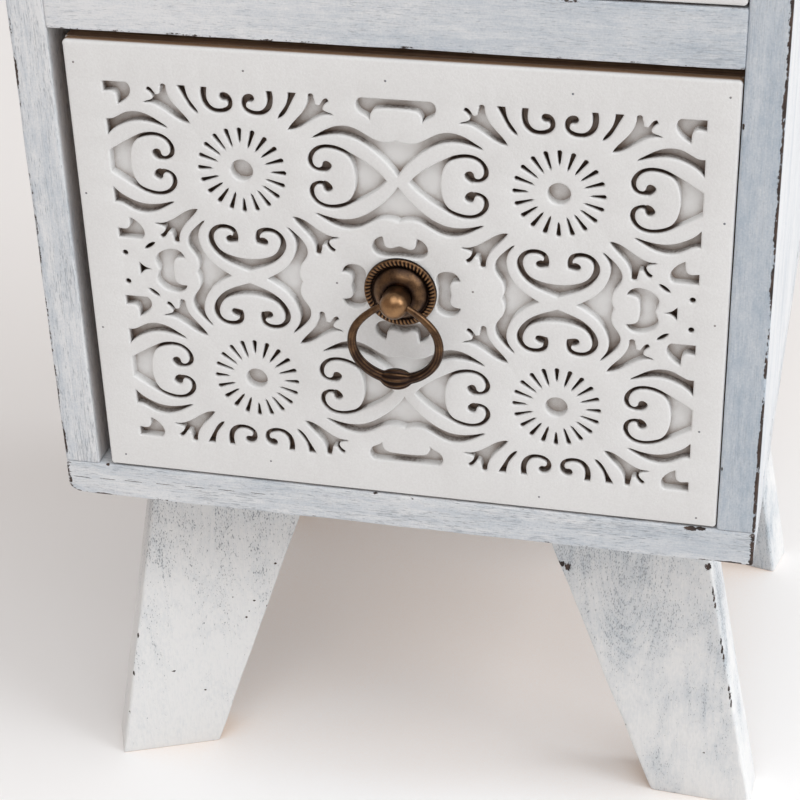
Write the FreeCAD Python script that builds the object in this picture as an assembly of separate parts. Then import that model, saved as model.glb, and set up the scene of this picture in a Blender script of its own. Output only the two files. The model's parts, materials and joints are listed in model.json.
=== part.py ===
"""A semainier: a narrow whitewashed chest with one drawer for each day of the week.

Each drawer front carries a fretwork panel with a ring pull, and the chest stands on splayed board legs.
Millimetres, +Z up, front towards -Y, origin on the floor under the middle of the whole piece.
"""
import FreeCAD
import Part
import math
import os

Vector = FreeCAD.Vector

# Carcass
WIDTH = 260.0
DEPTH = 260.0
SIDE_THICKNESS = 13.5
BASE_THICKNESS = 14.0
BASE_END_RADIUS = 4.0
TOP_THICKNESS = 16.0
TOP_OVERHANG = 12.0
TOP_EDGE_RADIUS = 3.0
BACK_THICKNESS = 4.0
RAIL_HEIGHT = 20.0
RAIL_DEPTH = 30.0
RUNNER_WIDTH = 16.0
RUNNER_HEIGHT = 12.0

# Drawers, one for each day
DRAWERS = 7
OPENING_HEIGHT = 174.5
GAP_LEFT = 5.0
GAP_RIGHT = 0.4
GAP_ABOVE = 3.8
GAP_BELOW = 0.8
RUNNING_CLEARANCE = 0.3
FRONT_BOARD_THICKNESS = 12.0
BOX_INSET = 1.0
BOX_SIDE_THICKNESS = 9.0
BOX_SIDE_DROP = 30.0
BOX_BACK_THICKNESS = 9.0
BOX_BOTTOM_THICKNESS = 4.0
BOX_BOTTOM_LIFT = 8.0
GROOVE_DEPTH = 4.0
GROOVE_PLAY = 0.2
REAR_GAP = 8.0

# Fretwork panel and its pierced window
FRET_THICKNESS = 4.0
FRET_CORNER_RADIUS = 1.5
FRET_MARGIN_LEFT = 12.4
FRET_MARGIN_RIGHT = 10.0
FRET_MARGIN_UPRIGHT = 13.5
SUN_HOLE_RADIUS = 3.9
SUN_RAY_COUNT = 20
SUN_RAY_INNER = 9.0
SUN_AXIS_RAY_INNER = 10.5
SUN_RAY_OUTER = 15.5
SUN_RAY_WIDTH = 1.1
DOT_RADIUS = 0.9

# Ring pull
ROSETTE_RADIUS = 12.85
ROSETTE_RIM = 2.2
ROSETTE_RIM_WIDTH = 2.1
ROSETTE_DOME = 5.2
POST_RADIUS = 4.4
BALL_RADIUS = 4.75
PULL_AXIS_REACH = 10.5
PIN_RADIUS = 1.3
PIN_CLEARANCE = 0.08
PIN_END_GAP = 1.0
RING_RADIUS = 15.2
RING_WIRE_RADIUS = 1.75
RING_DROP = 13.0
BEAD_LENGTH = 10.0
BEAD_RADIUS = 4.2
BEAD_SHOULDER = 3.1
PULL_SCREW_RADIUS = 2.0
PULL_SCREW_BITE = 5.0
PULL_SCREW_HEAD_RADIUS = 3.8
PULL_SCREW_HEAD = 2.4

# Legs, each turned a little about its one bolt
LEG_HEIGHT = 141.0
LEG_THICKNESS = 18.5
LEG_TOP_INNER = 34.0
LEG_TOP_OUTER = 32.5
LEG_FOOT_INNER = 17.9
LEG_FOOT_OUTER = 58.8
LEG_EDGE_RADIUS = 1.2
LEG_INSET_SIDE = 53.7
LEG_INSET_END = 43.4
FRONT_LEFT_TURN = 22.9
FRONT_RIGHT_TURN = 2.9
REAR_LEFT_TURN = 8.0
REAR_RIGHT_TURN = 13.0
BOLT_RADIUS = 4.0
BOLT_BITE = 40.0
BOLT_HEAD_RADIUS = 7.5
BOLT_HEAD = 4.0
BOLT_HEAD_SINK = 0.6

# Wood screws through the base and the top into the sides
SCREW_RADIUS = 2.0
SCREW_BITE = 28.0
SCREW_HEAD_RADIUS = 4.0
SCREW_HEAD = 3.0
SCREW_HEAD_SINK = 1.0
SCREW_INSET = 45.0
FIT_CLEARANCE = 0.1

# Places worked out from the sizes
OPENING_WIDTH = WIDTH - 2 * SIDE_THICKNESS
PULL_REACH = PULL_AXIS_REACH + max(BALL_RADIUS, BEAD_RADIUS)
FRONT_REACH = max(PULL_REACH, TOP_OVERHANG)
FRONT_Y = (FRONT_REACH - DEPTH) / 2
REAR_Y = FRONT_Y + DEPTH
CARCASS_REAR_Y = REAR_Y - BACK_THICKNESS
BASE_TOP = LEG_HEIGHT + BASE_THICKNESS
PITCH = OPENING_HEIGHT + RAIL_HEIGHT
TOP_BOTTOM = BASE_TOP + DRAWERS * PITCH - RAIL_HEIGHT
INNER_X = OPENING_WIDTH / 2
OUTER_X = WIDTH / 2

FRET_LEFT = GAP_LEFT - INNER_X
FRET_RIGHT = INNER_X - GAP_RIGHT
FRET_HEIGHT = OPENING_HEIGHT - GAP_ABOVE - GAP_BELOW
WINDOW_HALF_WIDTH = (FRET_RIGHT - FRET_LEFT - FRET_MARGIN_LEFT - FRET_MARGIN_RIGHT) / 2
WINDOW_HALF_HEIGHT = FRET_HEIGHT / 2 - FRET_MARGIN_UPRIGHT
PULL_X = FRET_LEFT + FRET_MARGIN_LEFT + WINDOW_HALF_WIDTH
PULL_RISE = GAP_BELOW + FRET_HEIGHT / 2
BOARD_FRONT_Y = FRONT_Y + FRET_THICKNESS
BOARD_REAR_Y = BOARD_FRONT_Y + FRONT_BOARD_THICKNESS
BOX_REAR_Y = CARCASS_REAR_Y - REAR_GAP
PULL_Y = FRONT_Y - PULL_AXIS_REACH

# The fretwork is drawn for the window's upper right quarter, as shares of the window's half width and half
# height from its centre. An outline is a list of runs that meet at sharp corners: two points are a straight
# line, three an arc, more a smooth curve. A half outline is closed by its mirror image, and its last run is
# carried on across the mirror line unless it ends on it.
SUN_SHARES = (0.5335, 0.577)
CLIP_SHARE = 0.995
NEAR_CLIP_SHARE = 2 * SUN_SHARES[0] - CLIP_SHARE

TRIDENT_SHARES = [
    [(0.366, 0.803), (0.339, 0.855), (0.309, 0.905), (0.295, 0.945), (0.291, 0.980)],
    [(0.291, 0.980), (0.282, 0.994), (0.273, 0.980)],
    [(0.273, 0.980), (0.268, 0.945)],
    [(0.268, 0.945), (0.252, 0.942), (0.242, 0.960), (0.229, 0.972)],
    [(0.229, 0.972), (0.225, 0.962)],
    [(0.225, 0.962), (0.238, 0.945), (0.243, 0.920), (0.232, 0.908), (0.210, 0.896)],
    [(0.210, 0.896), (0.250, 0.887), (0.275, 0.868), (0.310, 0.833), (0.345, 0.807), (0.366, 0.803)],
]
FLAME_SHARES = [
    [(0.332, 0.992), (0.343, 0.962), (0.357, 0.925), (0.375, 0.885), (0.396, 0.860)],
    [(0.396, 0.860), (0.385, 0.885), (0.371, 0.915), (0.361, 0.953), (0.357, 0.992)],
    [(0.357, 0.992), (0.332, 0.992)],
]
SCROLL_SHARES = [
    [(0.413, 0.992), (0.411, 0.950), (0.420, 0.905), (0.444, 0.874), (0.472, 0.868), (0.500, 0.880),
     (0.516, 0.908), (0.516, 0.943), (0.505, 0.965), (0.490, 0.972)],
    [(0.490, 0.972), (0.474, 0.951), (0.490, 0.931)],
    [(0.490, 0.931), (0.501, 0.925), (0.503, 0.906), (0.492, 0.893), (0.472, 0.886), (0.452, 0.891),
     (0.437, 0.910), (0.430, 0.935), (0.429, 0.960), (0.432, 0.992)],
    [(0.432, 0.992), (0.413, 0.992)],
]
HOOK_SHARES = [
    [(0.915, 0.991), (CLIP_SHARE, 0.991)],
    [(CLIP_SHARE, 0.991), (CLIP_SHARE, 0.938)],
    [(CLIP_SHARE, 0.938), (0.976, 0.942), (0.960, 0.938), (0.952, 0.925), (0.949, 0.905), (0.948, 0.876)],
    [(0.948, 0.876), (0.928, 0.893), (0.909, 0.922), (0.901, 0.950), (0.905, 0.978), (0.915, 0.991)],
]
HEART_LOBE_SHARES = [
    (0.100, 0.660), (0.150, 0.703), (0.190, 0.730), (0.232, 0.740), (0.268, 0.728), (0.293, 0.695),
    (0.301, 0.658), (0.294, 0.627), (0.275, 0.606), (0.252, 0.601)]
HEART_CURL_SHARES = [
    [(0.252, 0.601), (0.228, 0.617), (0.223, 0.638), (0.238, 0.657), (0.254, 0.640)],
    [(0.254, 0.640), (0.262, 0.622), (0.275, 0.621), (0.286, 0.637), (0.289, 0.660), (0.282, 0.692),
     (0.264, 0.716), (0.235, 0.7265), (0.203, 0.720), (0.176, 0.703), (0.158, 0.675), (0.148, 0.640),
     (0.1435, 0.605)],
]
HEART_SHARES = [[(0.038, SUN_SHARES[1]), (0.058, 0.610)] + HEART_LOBE_SHARES] + HEART_CURL_SHARES
EDGE_HEART_SHARES = [[(NEAR_CLIP_SHARE, 0.634)] + HEART_LOBE_SHARES] + HEART_CURL_SHARES
CRESCENT_BACK_SHARES = [
    (0.100, 0.804), (0.135, 0.832), (0.170, 0.844), (0.205, 0.838), (0.245, 0.812), (0.284, 0.773)]
CRESCENT_BELLY_SHARES = [
    (0.284, 0.773), (0.245, 0.787), (0.205, 0.796), (0.165, 0.792), (0.125, 0.772), (0.085, 0.735)]
CRESCENT_SHARES = [
    [(0.0, 0.788), (0.028, 0.776), (0.065, 0.780)] + CRESCENT_BACK_SHARES,
    CRESCENT_BELLY_SHARES + [(0.045, 0.685), (0.0, 0.605)],
]
EDGE_CRESCENT_SHARES = [
    [(NEAR_CLIP_SHARE, 0.798)] + CRESCENT_BACK_SHARES,
    CRESCENT_BELLY_SHARES + [(NEAR_CLIP_SHARE, 0.714)],
    [(NEAR_CLIP_SHARE, 0.714), (NEAR_CLIP_SHARE, 0.798)],
]
UPRIGHT_HEART_SHARES = [
    [(SUN_SHARES[0], 0.033), (0.505, 0.048), (0.450, 0.084), (0.410, 0.140), (0.396, 0.205), (0.412, 0.252),
     (0.440, 0.275), (0.470, 0.276), (0.494, 0.258), (0.503, 0.222), (0.499, 0.190)],
    [(0.499, 0.190), (0.480, 0.184), (0.463, 0.188), (0.459, 0.205), (0.469, 0.221), (0.484, 0.225)],
    [(0.484, 0.225), (0.486, 0.238), (0.476, 0.253), (0.458, 0.259), (0.436, 0.254), (0.421, 0.236),
     (0.415, 0.208), (0.421, 0.170), (0.437, 0.138), (0.465, 0.116), (0.505, 0.103)],
]
UPRIGHT_CRESCENT_SHARES = [
    [(0.345, 0.0), (0.354, 0.035), (0.354, 0.065), (0.345, 0.098), (0.326, 0.140), (0.322, 0.175),
     (0.330, 0.210), (0.350, 0.247), (0.386, 0.290)],
    [(0.386, 0.290), (0.368, 0.250), (0.360, 0.210), (0.362, 0.170), (0.373, 0.125), (0.395, 0.078),
     (0.430, 0.035), (0.470, 0.0)],
]
BRACKET_SHARES = [
    [(0.112, 0.992), (0.129, 0.975), (0.131, 0.945), (0.118, 0.916), (0.100, 0.902), (0.087, 0.886)],
    [(0.087, 0.886), (0.085, 0.912), (0.075, 0.932), (0.055, 0.942), (0.030, 0.945)],
]
PULL_CAP_SHARES = [
    [(0.0, 0.236), (0.018, 0.228), (0.036, 0.222), (0.050, 0.231), (0.055, 0.250), (0.060, 0.283)],
    [(0.060, 0.283), (0.080, 0.268), (0.093, 0.240), (0.093, 0.210), (0.080, 0.187), (0.058, 0.177),
     (0.030, 0.178)],
]
PULL_CHEEK_SHARES = [
    [(0.172, 0.0), (0.168, 0.025), (0.168, 0.047), (0.175, 0.063), (0.186, 0.071), (0.203, 0.074)],
    [(0.203, 0.074), (0.196, 0.098), (0.180, 0.116), (0.160, 0.120), (0.138, 0.112), (0.124, 0.090),
     (0.121, 0.065), (0.125, 0.035)],
]
EDGE_CHEEK_SHARES = [
    [(0.857, 0.0), (0.864, 0.025), (0.869, 0.055), (0.862, 0.080), (0.845, 0.102), (0.818, 0.118),
     (0.790, 0.118), (0.773, 0.104), (0.763, 0.078)],
    [(0.763, 0.078), (0.785, 0.075), (0.800, 0.062), (0.806, 0.035)],
]
ARROW_SHARES = [
    [(0.888, 0.0), (0.911, 0.009), (0.929, 0.033)],
    [(0.929, 0.033)],
]
SLIT_SHARES = [
    [(0.868, 0.149), (0.889, 0.134), (0.903, 0.112)],
    [(0.903, 0.112), (0.882, 0.127), (0.868, 0.149)],
]
DOT_SHARES = (0.978, 0.080)

# Where each outline repeats: which mirror line closes it, which mirrored copies stand round a sun, and which
# quarters of the window hold it. A sign of -1 mirrors that direction.
NO_LINE = None
CENTRE_LINE_X = (0, 0.0)
CENTRE_LINE_Z = (1, 0.0)
SUN_LINE_X = (0, SUN_SHARES[0])
SUN_LINE_Z = (1, SUN_SHARES[1])
AS_DRAWN = [(1, 1)]
LEFT_RIGHT = [(1, 1), (-1, 1)]
UP_DOWN = [(1, 1), (1, -1)]
ALL_FOUR = [(1, 1), (-1, 1), (1, -1), (-1, -1)]
ACROSS_SUN = [(-1, 1)]
ACROSS_SUN_UP_DOWN = [(-1, 1), (-1, -1)]
FRETWORK = [
    (TRIDENT_SHARES, NO_LINE, ALL_FOUR, ALL_FOUR),
    (FLAME_SHARES, NO_LINE, LEFT_RIGHT, ALL_FOUR),
    (SCROLL_SHARES, NO_LINE, LEFT_RIGHT, ALL_FOUR),
    (HOOK_SHARES, NO_LINE, UP_DOWN, ALL_FOUR),
    (HEART_SHARES, SUN_LINE_Z, AS_DRAWN, ALL_FOUR),
    (EDGE_HEART_SHARES, SUN_LINE_Z, ACROSS_SUN, ALL_FOUR),
    (CRESCENT_SHARES, CENTRE_LINE_X, UP_DOWN, UP_DOWN),
    (EDGE_CRESCENT_SHARES, NO_LINE, ACROSS_SUN_UP_DOWN, ALL_FOUR),
    (UPRIGHT_HEART_SHARES, SUN_LINE_X, AS_DRAWN, ALL_FOUR),
    (UPRIGHT_CRESCENT_SHARES, CENTRE_LINE_Z, LEFT_RIGHT, LEFT_RIGHT),
    (BRACKET_SHARES, CENTRE_LINE_X, AS_DRAWN, UP_DOWN),
    (PULL_CAP_SHARES, CENTRE_LINE_X, AS_DRAWN, UP_DOWN),
    (PULL_CHEEK_SHARES, CENTRE_LINE_Z, AS_DRAWN, LEFT_RIGHT),
    (EDGE_CHEEK_SHARES, CENTRE_LINE_Z, AS_DRAWN, LEFT_RIGHT),
    (ARROW_SHARES, CENTRE_LINE_Z, AS_DRAWN, LEFT_RIGHT),
    (SLIT_SHARES, NO_LINE, AS_DRAWN, ALL_FOUR),
]


def block(low, high):
    """A board from its lowest corner to its highest corner."""
    size = Vector(*high) - Vector(*low)
    return Part.makeBox(size.x, size.y, size.z, Vector(*low))


def rod(radius, start, end):
    """A round rod between the centres of its two ends."""
    along = Vector(*end) - Vector(*start)
    return Part.makeCylinder(radius, along.Length, Vector(*start), along)


def save(name, *solids):
    """Write one node: a single solid, or a group of like solids."""
    shape = solids[0] if len(solids) == 1 else Part.makeCompound(list(solids))
    shape.exportStep(f"parts/{name}.step")


def lifted(shape, drawer):
    """A copy of the lowest drawer's piece, raised to another drawer's place."""
    copy = shape.copy()
    copy.translate(Vector(0, 0, drawer * PITCH))
    return copy


def run_edge(points):
    """One run of an outline: a line, an arc through three points, or a smooth curve through more."""
    if len(points) == 2:
        return Part.LineSegment(*points).toShape()
    if len(points) == 3:
        return Part.Arc(*points).toShape()
    curve = Part.BSplineCurve()
    curve.interpolate(points)
    return curve.toShape()


def closed_outline(runs):
    """The wire round a list of runs given as points in space, with a straight line where its ends are apart."""
    edges = [run_edge(run) for run in runs]
    if runs[-1][-1] != runs[0][0]:
        edges.append(run_edge([runs[-1][-1], runs[0][0]]))
    return Part.Wire(edges)


def with_mirror(half, line):
    """Close a half outline with its mirror image about a line of the window."""
    if line is NO_LINE:
        return half
    way, place = line

    def mirrored(point):
        image = list(point)
        image[way] = 2 * place - point[way]
        return tuple(image)

    back = [[mirrored(point) for point in reversed(run)] for run in reversed(half)]
    if half[-1][-1][way] == place:
        return half + back
    return half[:-1] + [half[-1] + back[0]] + back[1:]


def window_point(share, turn, quarter):
    """Place a share of the window, after its mirroring about the sun and about the window's centre."""
    from_sun = [sign * (value - sun) for sign, value, sun in zip(turn, share, SUN_SHARES)]
    u, v = [sign * (sun + value) for sign, value, sun in zip(quarter, from_sun, SUN_SHARES)]
    return Vector(PULL_X + u * WINDOW_HALF_WIDTH, FRONT_Y, BASE_TOP + PULL_RISE + v * WINDOW_HALF_HEIGHT)


def round_hole(centre, radius):
    """A circle in the panel's face."""
    return Part.Wire([Part.Circle(centre, Vector(0, 1, 0), radius).toShape()])


def sun_ray(centre, angle, inner):
    """A tapered slit: a point at its inner end, and a round outer end."""
    outward = Vector(math.cos(angle), 0, math.sin(angle))
    aside = Vector(-math.sin(angle), 0, math.cos(angle)) * (SUN_RAY_WIDTH / 2)
    shoulder = centre + outward * (SUN_RAY_OUTER - SUN_RAY_WIDTH / 2)
    tip = centre + outward * inner
    end = centre + outward * SUN_RAY_OUTER
    return closed_outline([
        [tip, shoulder + aside],
        [shoulder + aside, end, shoulder - aside],
        [shoulder - aside, tip],
    ])


def sunburst(centre):
    """A round hole with rays about it. The rays on the sun's own axes start further out."""
    wires = [round_hole(centre, SUN_HOLE_RADIUS)]
    for ray in range(SUN_RAY_COUNT):
        on_axis = ray * 4 % SUN_RAY_COUNT == 0
        inner = SUN_AXIS_RAY_INNER if on_axis else SUN_RAY_INNER
        wires.append(sun_ray(centre, ray * math.tau / SUN_RAY_COUNT, inner))
    return wires


def fret_cuts():
    """Every hole in the fretwork panel, as closed wires in its front face."""
    wires = []
    for half, line, turns, quarters in FRETWORK:
        runs = with_mirror(half, line)
        for turn in turns:
            for quarter in quarters:
                wires.append(closed_outline([[window_point(p, turn, quarter) for p in run] for run in runs]))
    for quarter in ALL_FOUR:
        wires += sunburst(window_point(SUN_SHARES, (1, 1), quarter))
        wires.append(round_hole(window_point(DOT_SHARES, (1, 1), quarter), DOT_RADIUS))
    wires.append(round_hole(window_point((0, 0), (1, 1), (1, 1)), PULL_SCREW_RADIUS + FIT_CLEARANCE))
    return wires


def fret_panel():
    """The pierced panel on a drawer's front, with softened corners."""
    low = BASE_TOP + GAP_BELOW
    blank = block((FRET_LEFT, FRONT_Y, low), (FRET_RIGHT, BOARD_FRONT_Y, low + FRET_HEIGHT))
    corners = [edge for edge in blank.Edges if abs(edge.tangentAt(edge.FirstParameter).y) > 0.5]
    blank = blank.makeFillet(FRET_CORNER_RADIUS, corners)
    face = min(blank.Faces, key=lambda side: side.CenterOfMass.y)
    pierced = Part.makeFace([face.OuterWire] + fret_cuts(), "Part::FaceMakerCheese")
    return pierced.extrude(Vector(0, FRET_THICKNESS, 0))


def box_span():
    """The drawer box's outer faces: left and right."""
    return FRET_LEFT + BOX_INSET, FRET_RIGHT - BOX_INSET


def bottom_panel():
    """The drawer's floor, held in grooves of its sides and its front board."""
    left, right = box_span()
    reach = BOX_SIDE_THICKNESS - GROOVE_DEPTH + GROOVE_PLAY
    low = BASE_TOP + BOX_BOTTOM_LIFT
    return block((left + reach, BOARD_REAR_Y - GROOVE_DEPTH + GROOVE_PLAY, low),
                 (right - reach, BOX_REAR_Y, low + BOX_BOTTOM_THICKNESS))


def bottom_groove():
    """The space that the grooves leave for the drawer's floor."""
    left, right = box_span()
    reach = BOX_SIDE_THICKNESS - GROOVE_DEPTH
    low = BASE_TOP + BOX_BOTTOM_LIFT
    return block((left + reach, BOARD_REAR_Y - GROOVE_DEPTH, low),
                 (right - reach, BOX_REAR_Y, low + BOX_BOTTOM_THICKNESS))


def front_board():
    """The plain board behind the fretwork panel, grooved for the drawer's floor and drilled for the pull."""
    low = BASE_TOP + GAP_BELOW
    board = block((FRET_LEFT, BOARD_FRONT_Y, low), (FRET_RIGHT, BOARD_REAR_Y, low + FRET_HEIGHT))
    pull_z = BASE_TOP + PULL_RISE
    drilling = rod(PULL_SCREW_RADIUS + FIT_CLEARANCE, (PULL_X, FRONT_Y, pull_z), (PULL_X, BOX_REAR_Y, pull_z))
    return board.cut([bottom_groove(), drilling])


def box_sides():
    """The drawer box's two sides, which ride on the runners."""
    left, right = box_span()
    low = BASE_TOP + RUNNING_CLEARANCE
    high = BASE_TOP + GAP_BELOW + FRET_HEIGHT - BOX_SIDE_DROP
    groove = bottom_groove()
    boards = []
    for near in (left, right - BOX_SIDE_THICKNESS):
        board = block((near, BOARD_REAR_Y, low), (near + BOX_SIDE_THICKNESS, BOX_REAR_Y, high))
        boards.append(board.cut(groove))
    return boards


def box_back():
    """The drawer box's back, between the sides and on top of the floor."""
    left, right = box_span()
    low = BASE_TOP + BOX_BOTTOM_LIFT + BOX_BOTTOM_THICKNESS
    high = BASE_TOP + GAP_BELOW + FRET_HEIGHT - BOX_SIDE_DROP
    return block((left + BOX_SIDE_THICKNESS, BOX_REAR_Y - BOX_BACK_THICKNESS, low),
                 (right - BOX_SIDE_THICKNESS, BOX_REAR_Y, high))


def pull_point(radius, reach):
    """A point of the pull's turned profile: its radius, and its distance in front of the panel."""
    return Vector(PULL_X + radius, FRONT_Y - reach, BASE_TOP + PULL_RISE)


def pull_casting():
    """The turned rosette with its post and ball end, drilled across for the ring and behind for its screw."""
    dome_edge = ROSETTE_RADIUS - ROSETTE_RIM_WIDTH
    dome_middle = (dome_edge + POST_RADIUS) / 2
    neck = PULL_AXIS_REACH - math.sqrt(BALL_RADIUS ** 2 - POST_RADIUS ** 2)
    profile = closed_outline([
        [pull_point(0, 0), pull_point(ROSETTE_RADIUS, 0)],
        [pull_point(ROSETTE_RADIUS, 0), pull_point(ROSETTE_RADIUS, ROSETTE_RIM)],
        [pull_point(ROSETTE_RADIUS, ROSETTE_RIM), pull_point(dome_edge, ROSETTE_RIM)],
        [pull_point(dome_edge, ROSETTE_RIM), pull_point(dome_middle, ROSETTE_DOME),
         pull_point(POST_RADIUS, (ROSETTE_RIM + ROSETTE_DOME) / 2)],
        [pull_point(POST_RADIUS, (ROSETTE_RIM + ROSETTE_DOME) / 2), pull_point(POST_RADIUS, neck)],
        [pull_point(POST_RADIUS, neck), pull_point(BALL_RADIUS, PULL_AXIS_REACH),
         pull_point(0, PULL_AXIS_REACH + BALL_RADIUS)],
    ])
    turned = Part.Face(profile).revolve(pull_point(0, 0), Vector(0, 1, 0), 360)
    axis = pull_point(0, PULL_AXIS_REACH)
    reach = Vector(ROSETTE_RADIUS, 0, 0)
    cross_hole = rod(PIN_RADIUS + PIN_CLEARANCE, axis - reach, axis + reach)
    screw_hole = rod(PULL_SCREW_RADIUS + FIT_CLEARANCE, pull_point(0, 0), pull_point(0, PULL_SCREW_BITE))
    return turned.cut([cross_hole, screw_hole])


def pull_screw():
    """The machine screw that holds a pull from inside the drawer."""
    inside = BOARD_REAR_Y - FRONT_Y
    shank = rod(PULL_SCREW_RADIUS, pull_point(0, -inside), pull_point(0, PULL_SCREW_BITE))
    head = rod(PULL_SCREW_HEAD_RADIUS, pull_point(0, -inside - PULL_SCREW_HEAD), pull_point(0, -inside))
    return shank.fuse(head).removeSplitter()


def ring_bead(middle):
    """A ball whose sides run out as cones onto the ring's wire."""
    shoulder_radius = math.sqrt(BEAD_RADIUS ** 2 - BEAD_SHOULDER ** 2)
    run_out = BEAD_LENGTH / 2 - BEAD_SHOULDER
    bead = Part.makeSphere(BEAD_RADIUS, middle)
    for side in (-1, 1):
        along = Vector(side, 0, 0)
        bead = bead.fuse(Part.makeCone(shoulder_radius, RING_WIRE_RADIUS / 2, run_out,
                                       middle + along * BEAD_SHOULDER, along))
    return bead


def pull_ring():
    """The swinging ring: a bent wire with a pin at each end and a bead at its lowest point."""
    axis = pull_point(0, PULL_AXIS_REACH)
    middle = axis - Vector(0, 0, RING_DROP)
    end_x = math.sqrt(RING_RADIUS ** 2 - RING_DROP ** 2)
    low = middle - Vector(0, 0, RING_RADIUS)
    ends = [axis + Vector(side * end_x, 0, 0) for side in (-1, 1)]
    bow = Part.Wire([Part.Arc(ends[0], low, ends[1]).toShape()])
    start_along = Vector(-RING_DROP, 0, -end_x)
    section = Part.Wire([Part.Circle(ends[0], start_along, RING_WIRE_RADIUS).toShape()])
    ring = bow.makePipeShell([section], True, False)
    for end in ends:
        stub = axis + (end - axis).normalize() * PIN_END_GAP
        ring = ring.fuse([Part.makeSphere(RING_WIRE_RADIUS, end), rod(PIN_RADIUS, stub, end)])
    return ring.fuse(ring_bead(low)).removeSplitter()


def bolt_places():
    """Each leg's bolt: its place on the base, the outward side and the leg's turn."""
    x = OUTER_X - LEG_INSET_SIDE
    front = FRONT_Y + LEG_INSET_END
    rear = REAR_Y - LEG_INSET_END
    return {
        "front": [(-x, front, -1, FRONT_LEFT_TURN), (x, front, 1, FRONT_RIGHT_TURN)],
        "rear": [(-x, rear, -1, REAR_LEFT_TURN), (x, rear, 1, REAR_RIGHT_TURN)],
    }


def leg(x, y, side, turn):
    """A flat splayed leg under the base, its outer end turned towards the front about its bolt."""
    face_y = y - LEG_THICKNESS / 2
    outline = [
        (x - side * LEG_TOP_INNER, LEG_HEIGHT),
        (x + side * LEG_TOP_OUTER, LEG_HEIGHT),
        (x + side * LEG_FOOT_OUTER, 0),
        (x + side * LEG_FOOT_INNER, 0),
    ]
    corners = [Vector(px, face_y, pz) for px, pz in outline]
    board = Part.Face(Part.makePolygon(corners + corners[:1])).extrude(Vector(0, LEG_THICKNESS, 0))
    long_edges = [edge for edge in board.Edges if abs(edge.tangentAt(edge.FirstParameter).z) > 0.5]
    board = board.makeFillet(LEG_EDGE_RADIUS, long_edges)
    board.rotate(Vector(x, y, 0), Vector(0, 0, 1), -side * turn)
    drilling = rod(BOLT_RADIUS + FIT_CLEARANCE, (x, y, LEG_HEIGHT - BOLT_BITE), (x, y, BASE_TOP))
    return board.cut(drilling)


def leg_bolt(x, y):
    """A leg's bolt, with its head let into the top of the base."""
    head_top = BASE_TOP - BOLT_HEAD_SINK
    shank = rod(BOLT_RADIUS, (x, y, LEG_HEIGHT - BOLT_BITE), (x, y, head_top - BOLT_HEAD))
    head = rod(BOLT_HEAD_RADIUS, (x, y, head_top - BOLT_HEAD), (x, y, head_top))
    return shank.fuse(head).removeSplitter()


def screw_places():
    """Where screws enter the sides' end grain: two along each side."""
    x = OUTER_X - SIDE_THICKNESS / 2
    return [(sx, y) for sx in (-x, x) for y in (FRONT_Y + SCREW_INSET, CARCASS_REAR_Y - SCREW_INSET)]


def wood_screw(x, y, face_z, into, sink, margin):
    """A wood screw driven up or down from a face, its head let in by sink; margin makes the hole for it."""
    neck_z = face_z + into * (SCREW_HEAD_SINK + SCREW_HEAD)
    tip_z = neck_z + into * SCREW_BITE
    shank = rod(SCREW_RADIUS + margin, (x, y, neck_z), (x, y, tip_z))
    head = rod(SCREW_HEAD_RADIUS + margin, (x, y, face_z + into * sink), (x, y, neck_z))
    return shank.fuse(head).removeSplitter()


def all_screws(sink, margin):
    """Screws up through the base and down through the top."""
    top = TOP_BOTTOM + TOP_THICKNESS
    below = [wood_screw(x, y, LEG_HEIGHT, 1, sink, margin) for x, y in screw_places()]
    above = [wood_screw(x, y, top, -1, sink, margin) for x, y in screw_places()]
    return below + above


def screw_holes():
    """The drillings for the screws, open at the faces that they enter."""
    return all_screws(0, FIT_CLEARANCE)


def base_board():
    """The base, with its left lower edge rounded over and sunk for the bolts' heads."""
    board = block((-OUTER_X, FRONT_Y, LEG_HEIGHT), (OUTER_X, CARCASS_REAR_Y, BASE_TOP))
    worn = min(board.Edges, key=lambda edge: edge.CenterOfMass.x + edge.CenterOfMass.z)
    board = board.makeFillet(BASE_END_RADIUS, [worn])
    cuts = screw_holes()
    for x, y, _side, _turn in bolt_places()["front"] + bolt_places()["rear"]:
        cuts.append(rod(BOLT_RADIUS + FIT_CLEARANCE, (x, y, LEG_HEIGHT), (x, y, BASE_TOP)))
        cuts.append(rod(BOLT_HEAD_RADIUS + FIT_CLEARANCE, (x, y, BASE_TOP - BOLT_HEAD_SINK - BOLT_HEAD),
                        (x, y, BASE_TOP)))
    return board.cut(cuts)


def top_board():
    """The top, which overhangs the front and the sides, with softened upper edges."""
    high = TOP_BOTTOM + TOP_THICKNESS
    board = block((-OUTER_X - TOP_OVERHANG, FRONT_Y - TOP_OVERHANG, TOP_BOTTOM),
                  (OUTER_X + TOP_OVERHANG, REAR_Y, high))
    upper = [edge for edge in board.Edges if edge.CenterOfMass.z == high and edge.CenterOfMass.y < REAR_Y]
    board = board.makeFillet(TOP_EDGE_RADIUS, upper)
    return board.cut(screw_holes())


def side_board(side):
    """A side of the carcass, which stands on the base."""
    near, far = sorted((side * INNER_X, side * OUTER_X))
    board = block((near, FRONT_Y, BASE_TOP), (far, CARCASS_REAR_Y, TOP_BOTTOM))
    return board.cut(screw_holes())


def rail(drawer):
    """The rail under a drawer, flush with the front."""
    high = BASE_TOP + drawer * PITCH
    return block((-INNER_X, FRONT_Y, high - RAIL_HEIGHT), (INNER_X, FRONT_Y + RAIL_DEPTH, high))


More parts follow.
